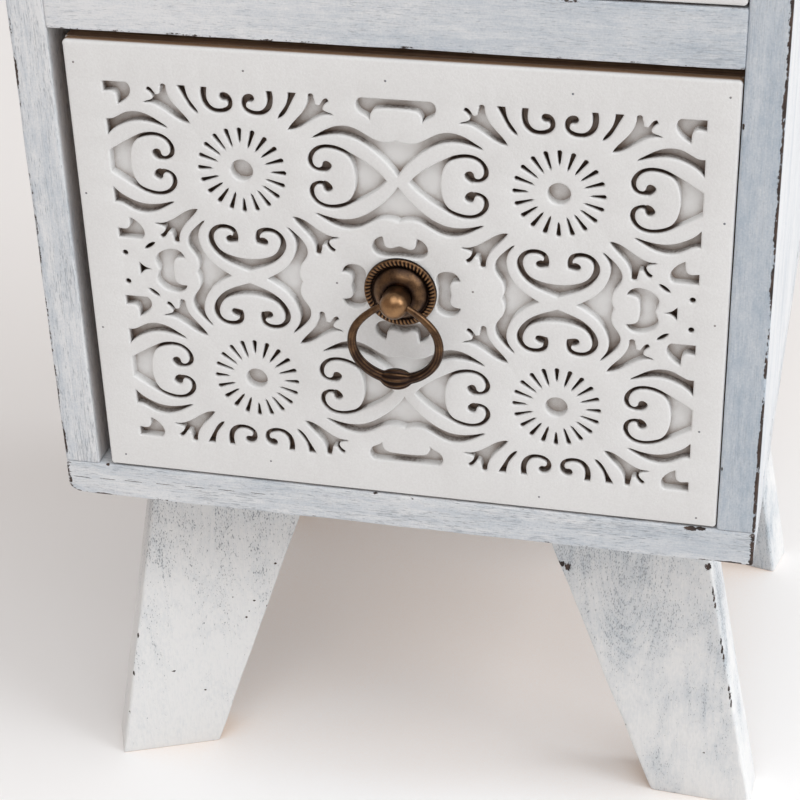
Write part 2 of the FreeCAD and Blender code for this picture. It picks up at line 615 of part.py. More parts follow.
def runners(drawer):
    """The two strips that carry a drawer behind its rail."""
    high = BASE_TOP + drawer * PITCH
    strips = []
    for side in (-1, 1):
        near, far = sorted((side * INNER_X, side * (INNER_X - RUNNER_WIDTH)))
        strips.append(block((near, FRONT_Y + RAIL_DEPTH, high - RUNNER_HEIGHT), (far, CARCASS_REAR_Y, high)))
    return strips


def save_carcass():
    """Write the fixed pieces."""
    above_first = range(1, DRAWERS)
    places = bolt_places()
    save("base_board", base_board())
    save("top_board", top_board())
    save("side_left", side_board(-1))
    save("side_right", side_board(1))
    save("back_panel", block((-OUTER_X, CARCASS_REAR_Y, LEG_HEIGHT), (OUTER_X, REAR_Y, TOP_BOTTOM)))
    save("front_rails", *[rail(drawer) for drawer in above_first])
    save("drawer_runners", *[strip for drawer in above_first for strip in runners(drawer)])
    save("front_legs", *[leg(*place) for place in places["front"]])
    save("rear_legs", *[leg(*place) for place in places["rear"]])
    save("leg_bolts", *[leg_bolt(x, y) for x, y, _side, _turn in places["front"] + places["rear"]])
    save("carcass_screws", *all_screws(SCREW_HEAD_SINK, 0))


def save_drawers():
    """Write every drawer: the lowest one's pieces, raised to each place."""
    pieces = {
        "fret_panel": [fret_panel()],
        "front_board": [front_board()],
        "sides": box_sides(),
        "back": [box_back()],
        "bottom": [bottom_panel()],
        "pull_post": [pull_casting(), pull_screw()],
        "pull_ring": [pull_ring()],
    }
    for drawer in range(DRAWERS):
        for name, solids in pieces.items():
            save(f"drawer_{drawer + 1}_{name}", *[lifted(solid, drawer) for solid in solids])


os.makedirs("parts", exist_ok=True)
save_carcass()
save_drawers()
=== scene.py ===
import json
import math

import bpy
import numpy as np
from bpy.props import FloatProperty, FloatVectorProperty, IntProperty, PointerProperty
from mathutils import Matrix, Vector
from mathutils.geometry import delaunay_2d_cdt

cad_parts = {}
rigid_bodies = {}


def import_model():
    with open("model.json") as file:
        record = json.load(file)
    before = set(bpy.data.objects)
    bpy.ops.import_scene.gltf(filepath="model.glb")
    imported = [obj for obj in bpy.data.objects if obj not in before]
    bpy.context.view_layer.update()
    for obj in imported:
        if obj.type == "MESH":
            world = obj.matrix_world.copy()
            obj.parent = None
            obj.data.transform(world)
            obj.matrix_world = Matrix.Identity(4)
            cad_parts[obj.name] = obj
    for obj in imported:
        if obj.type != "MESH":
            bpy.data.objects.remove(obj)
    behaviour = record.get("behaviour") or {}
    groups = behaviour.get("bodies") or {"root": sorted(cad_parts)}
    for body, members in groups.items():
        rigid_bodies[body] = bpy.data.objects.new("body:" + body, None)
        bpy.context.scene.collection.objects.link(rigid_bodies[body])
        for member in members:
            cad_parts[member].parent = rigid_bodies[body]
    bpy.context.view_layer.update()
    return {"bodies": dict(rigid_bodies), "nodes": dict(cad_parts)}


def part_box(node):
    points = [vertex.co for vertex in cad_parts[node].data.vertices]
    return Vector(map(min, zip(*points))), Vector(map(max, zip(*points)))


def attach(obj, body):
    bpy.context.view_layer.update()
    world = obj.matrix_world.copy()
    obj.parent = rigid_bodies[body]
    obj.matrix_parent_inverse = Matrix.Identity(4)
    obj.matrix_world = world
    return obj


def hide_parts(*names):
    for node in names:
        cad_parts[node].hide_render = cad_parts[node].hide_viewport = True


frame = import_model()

bl_info = {
    "name": "Whitewashed semainier",
    "version": (1, 0, 0),
    "blender": (4, 5, 0),
    "location": "View3D > Sidebar > Semainier",
    "description": "Worn boards, pierced drawer fronts and ring pulls round the chest's CAD frame",
    "category": "Add Mesh",
}

MM = 0.001
QUARTER = math.pi / 2
DRAWERS = sorted(name for name in frame["bodies"] if name.startswith("drawer_"))
SHARP_ANGLE = math.radians(40)

# The run of a board that lies across or that stands, then its section's two directions.
X_RUN = np.array([(1.0, 0, 0), (0, 1, 0), (0, 0, 1)])
Z_RUN = np.array([(0, 0, 1.0), (1, 0, 0), (0, 1, 0)])

# A board's section has four corners. Its sides and corners are counted in this order.
CORNER_SIGNS = np.array([(1, 1), (-1, 1), (-1, -1), (1, -1)])
CORNER_ARC = np.linspace(0.0, 1.0, 5)
FACE_SETBACKS = np.array([0.4, 2.6, 7.6]) * MM
FACE_SHARE = 0.8
SECTION_POINT = np.dtype([("sign", float, 2), ("share", float, 2), ("back", float, 2), ("middle", int),
                          ("corner", int), ("distance", float)])

# Rings of points at a board's end: how far each has turned round the edge, how far in it lies on the end's
# face, and how far past the edge on the long faces.
END_TURN = np.radians([90, 90, 90, 67.5, 45, 22.5, 0, 0, 0, 0])
END_CAP = np.array([4.5, 2.2, 0, 0, 0, 0, 0, 0, 0, 0]) * MM
END_PAST = np.array([0, 0, 0, 0, 0, 0, 0, 2.5, 5, 10]) * MM
CAP_SHARE = 0.6
STATION_STEP = 6 * MM

# Wear reaches in from an edge, and random knots along the edge change its rounding, most where it is dented.
WEAR_REACH = 10 * MM
KNOT_STEP = 11 * MM
WOBBLE, DENT, DENT_FROM = 0.55, 0.5, 0.6
WIDEST_ROUNDING = 1.9
GRAIN_SPREAD = 5

# The carcass's boards by node: the piece's name, the board's axes, the wear of its long edges and of both
# ends, its seed, how thin its paint and how open its grain is at both ends, and how thin the paint is behind
# the front edge if that differs. The rails share one plan, with seeds counted up from the first.
UNWORN = [[0.0] * 4] * 2
BOARDS = {
    "side_left": ("side_left_board", Z_RUN, [0.85, 0.9, 0.925, 0.8], UNWORN, 11,
                  (0.30, 0.28), (0.46, 0.34), 0.3),
    "side_right": ("side_right_board", Z_RUN, [0.9, 0.8, 0.80, 0.98], UNWORN, 12,
                   (0.88, 0.80), (0.2, 0.2), 0.3),
    "base_board": ("base_plank", X_RUN, [0.85, 0.85, 0.88, 0.85],
                   [[0.85, 0.85, 0.97, 0.97], [0.9, 0.9, 1.0, 0.97]], 13, (0.40, 0.28), (0.40, 0.54)),
    "top_board": ("top_plank", X_RUN, [0.88, 0.90, 0.90, 0.85],
                  [[0.88, 0.9, 0.92, 0.88], [0.88, 0.9, 0.94, 0.88]], 14, (0.3, 0.5), (0.35, 0.4)),
}
RAIL_WEAR, RAIL_SEED = [0.8, 0.87, 0.90, 0.8], 20
RAIL_THIN, RAIL_OPEN = (0.34, 0.65), (0.3, 0.34)
BASE_END_STRETCH = np.array((1.4, 1.0))

# Behind the front edge: where the front's finish ends, and where the paint on the inner faces ends.
EDGE_FINISH = (0.7 * MM, 2.7 * MM)
INNER_PAINT = (7 * MM, 19 * MM)
TOUCHING = 0.01 * MM

# The fretwork: the length of an outline's steps, how far the room round a point is searched, how many points
# are searched at once, how many steps a narrow cut has to last, the shares of the room that rounding takes
# and widening loses, and how deep a narrow cut's walls go brown, partly bare cut and partly painted shade,
# and how deep the panel's sides go bare.
OUTLINE_STEP = 0.8 * MM
ROOM_REACH = 9 * MM
BATCH = 300
SLIM_STEPS = 4
SLIM_ROOM = (0.9 * MM, 3.1 * MM)
ROUNDED_SHARE, WIDENED_SHARE = 0.6, 0.4
RIM_BAND = 2 * MM
WALL_RING = 1.8 * MM
CUT_BARE = (0.4 * MM, 2.0 * MM)
SIDE_BARE = (0.9 * MM, 1.8 * MM)

# Brad heads on a fretwork panel, in millimetres from its lower left corner.
BRAD_PLACES = np.array([
    (3.4, 162.0), (63.4, 162.7), (111.9, 162.4), (173.9, 162.1), (224.0, 164.3), (2.6, 113.1), (224.4, 120.1),
    (3.0, 59.4), (223.2, 81.9), (6.3, 4.9), (63.4, 8.6), (92.2, 85.9), (140.4, 86.9), (163.9, 5.3),
    (219.9, 39.5), (220.5, 3.4)])

# Chips on the carcass's front, in millimetres: x and z of the middle, half the width and half the height.
FRONT_CHIPS = np.array([
    (107.2, 154.5, 3.2, 1.5), (110.8, 154.8, 2.6, 1.0), (-113.2, 154.9, 1.0, 0.7), (-8.5, 154.9, 1.3, 0.6),
    (-129.7, 150.5, 0.6, 2.2), (-128.9, 146.3, 0.7, 2.4), (-126.5, 141.6, 2.2, 0.6),
    (-116.0, 141.3, 5.5, 0.6), (130.0, 141.2, 2.2, 1.3), (122.0, 141.5, 7.0, 0.75), (112.5, 141.4, 3.5, 0.5),
    (130.0, 148.0, 0.7, 4.0), (117.0, 310.4, 0.6, 1.5), (130.0, 317.5, 1.4, 4.6), (130.0, 304.0, 1.1, 5.0),
    (130.0, 271.0, 0.9, 3.0), (117.0, 181.0, 0.5, 1.2), (-130.0, 236.0, 0.6, 3.0), (-130.0, 183.0, 0.7, 3.4),
    (-130.0, 172.0, 0.6, 2.0), (-124.5, 148.1, 5.0, 0.17), (-114.0, 148.3, 5.0, 0.16),
    (-103.0, 148.5, 5.5, 0.16), (-91.0, 148.7, 5.0, 0.15), (-79.0, 148.9, 5.5, 0.15),
    (-66.5, 149.1, 5.0, 0.14), (-54.0, 149.2, 5.0, 0.13)])
CHIP_DEPTH = 1.5 * MM

# Chips higher up: how many, their seed, where they start in millimetres, where they end as a share of the
# chest's height, and their least and greatest half sizes in millimetres.
UPPER_CHIPS, UPPER_SEED, UPPER_FROM, UPPER_TO = 14, 41, 340, 0.95
UPPER_HALVES = (0.5, 0.8), (1.3, 3.5)

# Each leg: its side, its turn in degrees, the seed of its wear, how cloudy its paint is, and its chips. A
# chip is given by how far out from the bolt and how far above the floor it is, then half its width and half
# its height, in millimetres.
LEGS = {
    "front_legs": [
        (-1, 22.9, 31, 0.5, [
            (47.3, 60.6, 0.8, 1.5), (50.9, 41.5, 0.85, 1.9), (54.5, 22.3, 0.8, 2.3), (34.1, 39.9, 1.1, 0.5),
            (22.0, 28.0, 0.6, 0.6), (-11.2, 88.2, 0.7, 0.7), (-1.5, 70.9, 0.8, 0.6), (2.3, 63.0, 0.7, 0.7),
            (1.1, 65.9, 0.4, 0.4), (-6.5, 67.2, 0.5, 0.9), (7.2, 74.0, 0.4, 0.4)]),
        (1, 2.9, 32, 1.1, [
            (-20.6, 107.2, 2.4, 1.7), (-17.8, 106.0, 1.8, 2.2), (36.6, 115.6, 1.9, 2.2),
            (39.9, 98.2, 0.6, 3.0), (39.3, 101.4, 0.6, 3.2), (38.7, 104.4, 0.55, 2.8),
            (44.4, 74.0, 0.65, 3.2), (43.7, 77.5, 0.7, 3.4), (43.1, 81.0, 0.6, 3.0),
            (48.6, 51.5, 0.55, 3.2), (47.9, 55.0, 0.6, 3.2), (47.3, 58.3, 0.55, 3.0),
            (6.6, 31.4, 0.9, 1.1), (39.0, 24.0, 0.6, 0.6)]),
    ],
    "rear_legs": [
        # The rear legs' paint is cloudier, which darkens them: partly their own blue grey, partly painted
        # shade.
        (-1, 8.0, 33, 1.5, [(-10.5, 100.0, 0.7, 2.4), (49.0, 50.0, 0.7, 2.6)]),
        (1, 13.0, 34, 1.55, [(42.2, 90.0, 0.7, 2.4), (-4.2, 60.0, 0.7, 2.0)]),
    ],
}
LEG_TOP_INNER, LEG_TOP_OUTER = 34.0 * MM, 32.5 * MM
LEG_FOOT_INNER, LEG_FOOT_OUTER = 17.9 * MM, 58.8 * MM
LEG_THICKNESS = 18.5 * MM
LEG_END_ROUNDING = 0.4 * MM
LEG_INSET_SIDE, LEG_INSET_END = 53.7 * MM, 43.4 * MM
LEG_WEAR, LEG_FOOT_WEAR, LEG_TOP_WEAR = 0.84, 0.86, 0.8

# The pull's rosette, post and screw, measured from the panel's face, and its ring, measured from the pin.
ROSETTE_RADIUS, ROSETTE_RIM = 12.85 * MM, 2.2 * MM
ROSETTE_RIM_WIDTH, ROSETTE_DOME = 2.7 * MM, 5.2 * MM
POST_RADIUS, BALL_RADIUS, BALL_REACH = 4.7 * MM, 5.0 * MM, 4.75 * MM
PULL_AXIS_REACH = 10.5 * MM
SCREW_RADIUS, SCREW_HEAD_RADIUS, SCREW_HEAD, SCREW_BITE = 2.0 * MM, 3.8 * MM, 2.4 * MM, 4.0 * MM
SCREW_POINTS_AROUND, TWIST_POINTS, RING_POINTS_AROUND = 64, 6, 60
ROPE_FADE, ROPE_SLANT, ROPE_SHARPNESS = (0.55, 1.05), 1.7, 1.3
RING_RADIUS, RING_OVAL_DROP, RING_OVAL_HALF = 15.5 * MM, 15.5 * MM, 13.8 * MM
RING_JOIN = math.radians(61)
PIN_START, PIN_END = np.array((1.0 * MM, 0.0)), np.array((3.0 * MM, 0.0))
SHOULDER_PULL, OVAL_PULL = np.array((5.6 * MM, -1.1 * MM)), 4.5 * MM
BEAD_HALF, BEAD_RADIUS = 5.0 * MM, 3.8 * MM
FLUTE_FADE = (7.5 / 24, 17.5 / 24)
FLUTE_DEPTH = 0.12

# The stage, in metres: the floor's half width and its lines, and each lamp's place and size.
FLOOR_HALF, FLOOR_LINES = 40, 41
# How far the floor looks for the chest over it, for its painted warm shade.
FLOOR_SHADE_REACH = 0.24
KEY_PLACE, KEY_SIZE = (5.0, -0.5, 3.7), 4.0
TOP_PLACE, TOP_SIZE = (0.8, -2.4, 5.6), 5.0
LAMP_AIM = (0, 0, 0.4)
LAMP_TINT = (0.92, 0.965, 1.0)
SENSOR_WIDTH, NEAREST_VIEW = 36.0, 0.01


def linear(code):
    """A colour written as six hex digits, as the linear values that shaders use."""
    value = np.array([int(code[k:k + 2], 16) for k in (0, 2, 4)]) / 255
    return tuple(np.where(value <= 0.04045, value / 12.92, ((value + 0.055) / 1.055) ** 2.4))


def length_size(title, about, millimetres):
    return FloatProperty(name=title, description=about, default=millimetres * MM, unit="LENGTH")


def lamp_power(title, about, watts):
    return FloatProperty(name=title, description=about, default=watts, unit="POWER")


def paint_colour(title, about, code):
    return FloatVectorProperty(name=title, description=about, default=linear(code), subtype="COLOR", size=3)


class SemainierSizes(bpy.types.PropertyGroup):
    """Sizes of the details that the boards, panels and pulls get."""
    board_rounding: length_size("Board edge", "Rounding of a board's long edges before wear", 0.7)
    leg_rounding: length_size("Leg edge", "Rounding of a leg's long edges", 1.2)
    base_end_rounding: length_size("Base end", "Rounding of the base's lower left end", 4.0)
    top_rounding: length_size("Top edge", "Rounding of the top's upper edges", 3.0)
    panel_rounding: length_size("Panel edge", "Rounding round the fretwork panel", 1.1)
    fret_rounding: length_size("Fret edge", "Rounding round each fretwork hole", 0.7)
    fret_widening: length_size("Fret widening", "How far each side of the narrowest cuts is opened", 0.45)
    brad_radius: length_size("Brad", "Radius of a brad's head", 0.42)
    brad_rise: length_size("Brad rise", "Height of a brad's head above the panel", 0.1)
    rope_depth: length_size("Rope depth", "Depth of the twist in the rosette's rim", 0.5)
    ring_thin: length_size("Ring at its ends", "Radius of the ring's wire beside the post", 0.95)
    ring_thick: length_size("Ring below", "Radius of the ring's wire beside its bead", 2.1)
    rope_twists: IntProperty(name="Rope twists", description="Twists in the rosette's rim", default=52)
    ring_flutes: IntProperty(name="Ring flutes", description="Flutes along the ring and its bead", default=10)


class SemainierColours(bpy.types.PropertyGroup):
    """Colours of the finishes."""
    wash: paint_colour("Whitewash", "Whitewash where it is thick", "e0e2e4")
    thin_wash: paint_colour("Thin whitewash", "Blue grey where the whitewash is thin", "a6b3c0")
    pore: paint_colour("Pores", "Open pores in the painted wood", "626c78")
    leg_paint: paint_colour("Leg paint", "White paint on the legs", "e6e7e7")
    leg_shade: paint_colour("Leg shade", "Thin paint on the legs", "bcc5cd")
    worn_dark: paint_colour("Worn edge", "Bare wood on worn edges, in its dark parts", "2a211e")
    # The light wear brown is also the tint of the painted shade at the legs' tops.
    worn_light_and_shade: paint_colour("Worn edge, light", "Bare wood on worn edges, in its light parts", "4c3b33")
    fret_paint: paint_colour("Fretwork paint", "Off-white paint of the fretwork panels", "e4e5e5")
    # The brown deep in narrow fretwork cuts: partly the bare cut, partly painted shade.
    fret_bare_and_shade: paint_colour("Fretwork cut", "Bare cut in narrow fretwork holes", "64554c")
    backing: paint_colour("Backing", "Paint of the boards behind the fretwork", "edeeee")
    # The backing's brown: partly bare board, partly painted shade close behind the fretwork.
    backing_bare_and_shade: paint_colour("Backing, bare", "Bare board where no paint reached it", "7f6754")
    box_light: paint_colour("Drawer wood", "Drawer boxes, between the growth lines", "a58468")
    box_dark: paint_colour("Drawer wood, dark", "Drawer boxes, on the growth lines", "765a45")
    ply_light: paint_colour("Plywood", "Plywood of the drawer floors and the back", "cfb592")
    ply_dark: paint_colour("Plywood, dark", "Growth lines of the plywood", "ad8c68")
    brass_high: paint_colour("Brass", "Brass where hands have rubbed it", "a9825c")
    brass_low: paint_colour("Brass, dark", "Dark hollows of the brass", "2f2420")
    zinc: paint_colour("Zinc", "Plated bolts and screws", "b4b6b8")
    brad: paint_colour("Brads", "Heads of the brads", "918c88")


class SemainierStage(bpy.types.PropertyGroup):
    """The photograph's camera, and plain studio light."""
    camera_place: FloatVectorProperty(name="Camera place", description="Where the camera stands",
                                      default=(0.15670, -0.73557, 0.57963), subtype="TRANSLATION", size=3)
    camera_turn: FloatVectorProperty(name="Camera turn", description="The camera's heading, tilt and roll",
                                     default=(-0.24728, -0.54478, -0.032797), subtype="EULER", size=3)
    camera_lens: FloatProperty(name="Lens", description="Focal length on a 36 mm sensor", default=93.18,
                               unit="CAMERA")
    floor: paint_colour("Floor", "Pale floor", "f3f3f3")
    # Painted shade: the floor's warm colour where the chest stands close over it.
    floor_warm_shade: paint_colour("Floor, close", "Pale floor where the chest stands close over it", "efdac9")
    sky: paint_colour("Room", "Light from all round", "fff1e8")
    sky_strength: FloatProperty(name="Room light", description="Strength of the light from all round",
                                default=0.48)
    key_power: lamp_power("Key", "Power of the lamp at the right", 224.0)
    top_power: lamp_power("Top", "Power of the lamp above the front", 179.0)


def colours():
    return bpy.context.scene.semainier_colours


def sizes():
    return bpy.context.scene.semainier_sizes


def node_box(node):
    """A node's lowest and highest corner as arrays."""
    return [np.array(corner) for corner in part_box(node)]


def ramp(value, low, high):
    """0 up to low, 1 from high on, and a straight line between."""
    return np.clip((value - low) / (high - low), 0, 1)


class Shade:
    """A node's output in a shader tree. Arithmetic on it adds Math nodes, and node() adds any other."""

    def __init__(self, tree, socket=None):
        self.tree = tree
        self.socket = socket

    def node(self, kind, sockets=None, output=0, **settings):
        """Add a node: its settings first, then a value or a link for each socket."""
        made = self.tree.nodes.new(kind)
        for name, value in settings.items():
            setattr(made, name, value)
        for key, value in (sockets or {}).items():
            if isinstance(value, Shade):
                self.tree.links.new(value.socket, made.inputs[key])
            else:
                made.inputs[key].default_value = value
        return Shade(self.tree, made.outputs[output] if made.outputs else None)

    def maths(self, operation, first, second=0.0):
        return self.node("ShaderNodeMath", {0: first, 1: second}, operation=operation)

    def __add__(self, other):
        return self.maths("ADD", self, other)

    def __radd__(self, other):
        return self.maths("ADD", other, self)

    def __sub__(self, other):
        return self.maths("SUBTRACT", self, other)

    def __rsub__(self, other):
        return self.maths("SUBTRACT", other, self)

    def __mul__(self, other):
        return self.maths("MULTIPLY", self, other)

    def __rmul__(self, other):
        return self.maths("MULTIPLY", other, self)

    def most(self, other):
        """The greater of two values."""
        return self.maths("MAXIMUM", self, other)

    def sine(self):
        return self.maths("SINE", self)

    def clamped(self):
        """This value, held between 0 and 1."""
        return self.node("ShaderNodeClamp", {0: self})

    def rise(self, low, high):
        """0 below low, 1 above high, and a smooth step between."""
        return self.node("ShaderNodeMapRange", {0: self, 1: low, 2: high}, interpolation_type="SMOOTHSTEP")

    def between(self, low, high):
        """The colour that lies between two colours, by this value from 0 to 1."""
        low, high = (tint if isinstance(tint, Shade) else (*tint, 1.0) for tint in (low, high))
        return self.node("ShaderNodeMix", {0: self, 6: low, 7: high}, output=2, data_type="RGBA")

    def stretched(self, along, across, through):
        """This position with each direction drawn out or squeezed."""
        sockets = {0: self, 1: (along, across, through)}
        return self.node("ShaderNodeVectorMath", sockets, operation="MULTIPLY")

    def noise(self, scale, detail=2.0, roughness=0.5):
        """Soft noise at this position, about 0.5 in the middle."""
        sockets = {"Vector": self, "Scale": scale, "Detail": detail, "Roughness": roughness}
        return self.node("ShaderNodeTexNoise", sockets)

    def streaks(self, along, across, detail=2.0, roughness=0.5):
        """Soft noise with one scale along the first direction and one across it."""
        return self.stretched(along, across, across).noise(1, detail, roughness)

    def value(self, name):
        """A number that the piece's mesh carries at its points."""
        return self.node("ShaderNodeAttribute", output="Fac", attribute_name=name)

    def grain(self):
        """The place in a board that its mesh carries, along the grain first."""
        return self.node("ShaderNodeAttribute", output="Vector", attribute_name="grain")

    def place(self):
        """The position in the object's own frame."""
        return self.node("ShaderNodeTexCoord", output="Object")

    def open_air(self, distance, samples):
        """1 where nothing stands near the surface, less where something does within the distance."""
        return self.node("ShaderNodeAmbientOcclusion", {"Distance": distance}, output="AO", samples=samples)


def seal(shade, colour, roughness, height=None, depth=0.0, **constants):
    """Put the last shader on: colour and roughness, with a bump of the given depth from height."""
    sockets = {"Base Color": colour, "Roughness": roughness, **constants}
    if height is not None:
        bump = {"Height": height, "Distance": depth, "Strength": 1.0}
        sockets["Normal"] = shade.node("ShaderNodeBump", bump)
    skin = shade.node("ShaderNodeBsdfPrincipled", sockets)
    shade.node("ShaderNodeOutputMaterial", {"Surface": skin})


def worn_wood(grain):
    """The brown of bare wood on a worn edge, mottled along its grain."""
    mottle = grain.streaks(210, 700, 3.0, 0.6).rise(0.35, 0.7)
    return mottle.between(colours().worn_dark, colours().worn_light_and_shade)


def chipped(place, chips):
    """How deep the position is in the nearest chip: 1 at a chip's middle, 0 at its rim, less outside it.

    Each chip is an egg with its middle and its three half sizes; the depth is 1 less the distance in half
    sizes.
    """
    deepest = None
    for middle, halves in chips:
        scale = 1 / np.array(halves)
        sockets = {0: place, 1: tuple(scale), 2: tuple(-np.array(middle) * scale)}
        away = place.node("ShaderNodeVectorMath", sockets, operation="MULTIPLY_ADD")
        depth = 1.0 - away.node("ShaderNodeVectorMath", {0: away}, output="Value", operation="LENGTH")
        deepest = depth if deepest is None else deepest.most(depth)
    return deepest


def wear_mask(shade, grain, chips):
    """1 on bare worn edges and in chips: the boards' edge value and the chips' depth against ragged noise."""
    ragged = grain.streaks(650, 1300, 3.0, 0.65) - 0.5
    nick = grain.noise(95) - 0.5
    bare_edge = (shade.value("edge") + ragged * 0.30 + nick * 0.30).rise(0.93, 0.97)
    bare_chip = (chipped(shade.place(), chips) + ragged * 1.5).rise(0.24, 0.36)
    return bare_edge.most(bare_chip)


def front_chips():
    """Chips along the front of the carcass as eggs: those seen in the photo, then a few more higher up."""
    front, top = node_box("base_board")[0][1], node_box("top_board")[1][2]
    left, right = node_box("side_left"), node_box("side_right")
    rng = np.random.default_rng(UPPER_SEED)
    across = rng.choice((left[0][0], right[0][0], right[1][0]), UPPER_CHIPS) / MM
    up = rng.uniform(UPPER_FROM, UPPER_TO * top / MM, UPPER_CHIPS)
    halves = rng.uniform(*UPPER_HALVES, (UPPER_CHIPS, 2))
    spots = np.concatenate([FRONT_CHIPS, np.column_stack([across, up, halves])])
    return [((x * MM, front, z * MM), (wide * MM, CHIP_DEPTH, tall * MM)) for x, z, wide, tall in spots]


def whitewash(shade):
    """Thin whitewash on open grain: cloudy blue grey, brush streaks, hair lines, short pores, worn edges.

    The boards' thin value says how much of the blue grey shows through, open how open the grain is, and bare
    where no paint went.
    """
    tints = colours()
    grain = shade.grain()
    thin, open_grain = shade.value("thin"), shade.value("open")
    drift = grain.streaks(9, 42, 3.0, 0.55)
    streak = grain.streaks(20, 520, 3.0, 0.6)
    fibre = grain.streaks(150, 2500, 3.0, 0.65)
    dash = grain.streaks(340, 3000)
    hair = grain.streaks(70, 2700, 3.0, 0.6)
    patch = grain.streaks(24, 80)
    mottle = grain.streaks(150, 330, 2.0, 0.55)
    stipple = grain.noise(1300, 3.0, 0.65)
    seen = (drift * 0.75 + streak * (0.18 + open_grain * 0.4) + thin * 0.6).rise(0.55, 1.15)
    lines = (fibre - 0.5) * (0.4 + open_grain * 0.8)
    tone = seen * 0.85 + lines + (stipple - 0.5) * 0.8 + (mottle - 0.5) * 0.6
    colour = tone.clamped().between(tints.wash, tints.thin_wash)
    short = (dash + (patch - 0.5) * 0.28 + (fibre - 0.5) * 0.2).rise(0.58, 0.71)
    long = (hair + (patch - 0.5) * 0.3 + (dash - 0.5) * 0.2).rise(0.56, 0.68)
    pores = short.most(long * 0.8) * open_grain
    colour = pores.between(colour, tints.pore)
    raw = (shade.value("bare") + (streak - 0.5) * 0.5).rise(0.25, 0.75)
    wood = fibre.rise(0.3, 0.7).between(tints.box_dark, tints.box_light)
    colour = raw.between(colour, wood)
    wear = wear_mask(shade, grain, front_chips())
    colour = wear.between(colour, worn_wood(grain))
    height = fibre * 0.4 + stipple * 0.5 - pores * 0.7 - wear * 0.8
    seal(shade, colour, 0.58 + wear * 0.2, height, 0.16 * MM)


def leg_finish(shade):
    """White paint on open grain: faint clouds, growth lines, a fine stipple, pores in bands, small chips.

    The growth lines are contour lines of a slow noise. The legs' thin value brings the pores and the clouds
    out towards the top, the clouds partly as painted shade under the base, and darkens the top with painted
    shade;
    open says how cloudy a leg's paint is.
    """
    tints = colours()
    grain = shade.grain()
    thin, cloudy = shade.value("thin"), shade.value("open")
    cloud = grain.streaks(38, 56, 3.0, 0.6)
    growth = (grain.streaks(6, 28, 1.0, 0.4) * 190.0).sine().rise(0.2, 1.0)
    ripple = grain.streaks(420, 900, 2.0, 0.55)
    fibre = grain.streaks(110, 2100, 2.0, 0.6)
    band = grain.streaks(7, 105)
    speck = grain.streaks(900, 2300, 1.5)
    # The clouds thicken towards the top: partly the paint's own clouds, partly painted shade under the base.
    veil = (cloud * 0.9 + band * 0.35 + thin * 0.3).rise(0.62, 1.15) * cloudy
    tone = veil * 0.62 + growth * (0.04 + veil * 0.14) + (ripple - 0.5) * 0.6 + (fibre - 0.5) * 0.4
    colour = tone.clamped().between(tints.leg_paint, tints.leg_shade)
    pores = speck + (band - 0.5) * 0.34 + (cloud - 0.5) * 0.36 + growth * 0.05 + thin * 0.25
    pores = pores.rise(0.80, 0.92)
    colour = (pores * (0.78 - cloudy * 0.25)).between(colour, tints.pore)
    # Painted shade: the top of each leg is darkened towards a brown, where the base shades it.
    painted_shade_at_top = thin.rise(0.55, 0.8) * (0.14 - cloudy * 0.09)
    colour = painted_shade_at_top.between(colour, tints.worn_light_and_shade)
    wear = wear_mask(shade, grain, leg_chips())
    colour = wear.between(colour, worn_wood(grain))
    height = ripple * 0.7 + fibre * 0.3 - pores * 0.5 - wear
    seal(shade, colour, 0.54 + wear * 0.22, height, 0.24 * MM)


def fret_finish(shade):
    """Satin off-white paint with a fine sandy peel, bare on the panel's sides, and brown deep in the narrow
    cuts: partly the bare cut, partly painted shade.
    """
    tints = colours()
    place = shade.place()
    peel = place.noise(1500, 2.0, 0.6)
    shadow = place.noise(30).rise(0.35, 0.75) * 0.035 + peel.rise(0.25, 0.75) * 0.065
    colour = shadow.between(tints.fret_paint, tints.fret_bare_and_shade)
    # Painted shade in part: the narrow cuts darken to brown with depth.
    raw = (shade.value("bare") + (place.noise(900) - 0.5) * 0.5).rise(0.15, 0.85)
    colour = raw.between(colour, tints.fret_bare_and_shade)
    colour = shade.value("side").between(colour, tints.box_light)
    seal(shade, colour, 0.46 + peel * 0.12 + raw * 0.3, peel, 0.11 * MM)


def backing_finish(shade):
    """White paint on the front board's face, bare elsewhere. Close behind the fretwork the paint goes brown:
    partly thin paint, partly painted shade.
    """
    tints = colours()
    place = shade.place()
    depth = shade.node("ShaderNodeSeparateXYZ", {0: place}, output="Y")
    face = 1.0 - (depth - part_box("drawer_1_front_board")[0].y).rise(0.1 * MM, 0.3 * MM)
    mottle = place.noise(160, 3.0, 0.6)
    # Painted shade in part: the paint goes brown where the fretwork stands close over it.
    reached_and_lit = (shade.open_air(7 * MM, 12) + (mottle - 0.5) * 0.35).rise(0.10, 0.72)
    paint = reached_and_lit.between(tints.backing_bare_and_shade, tints.backing)
    streak = place.streaks(25, 900, 3.0, 0.6).rise(0.3, 0.75)
    wood = streak.between(tints.box_dark, tints.box_light)
    seal(shade, face.between(wood, paint), 0.62, mottle, 0.08 * MM)


def sawn_wood(shade, light, dark, along):
    """Bare sawn wood on object coordinates: growth lines, fibres and a few pores along one direction."""
    squeeze = [1.0, 1.0, 1.0]
    squeeze[along] = 0.06
    grain = shade.place().stretched(*squeeze)
    rings = (grain.noise(90, 3.0, 0.6) + grain.noise(14) * 0.4).rise(0.5, 0.95)
    fibre = grain.noise(1500, 2.0, 0.6)
    pores = grain.noise(2600, 1.0).rise(0.66, 0.76)
    colour = (rings * 0.7 + fibre * 0.35).between(light, dark)
    colour = (pores * 0.5).between(colour, np.array(dark) * 0.5)
    seal(shade, colour, 0.66 + fibre * 0.12, fibre * 0.6 - pores * 0.6, 0.12 * MM)


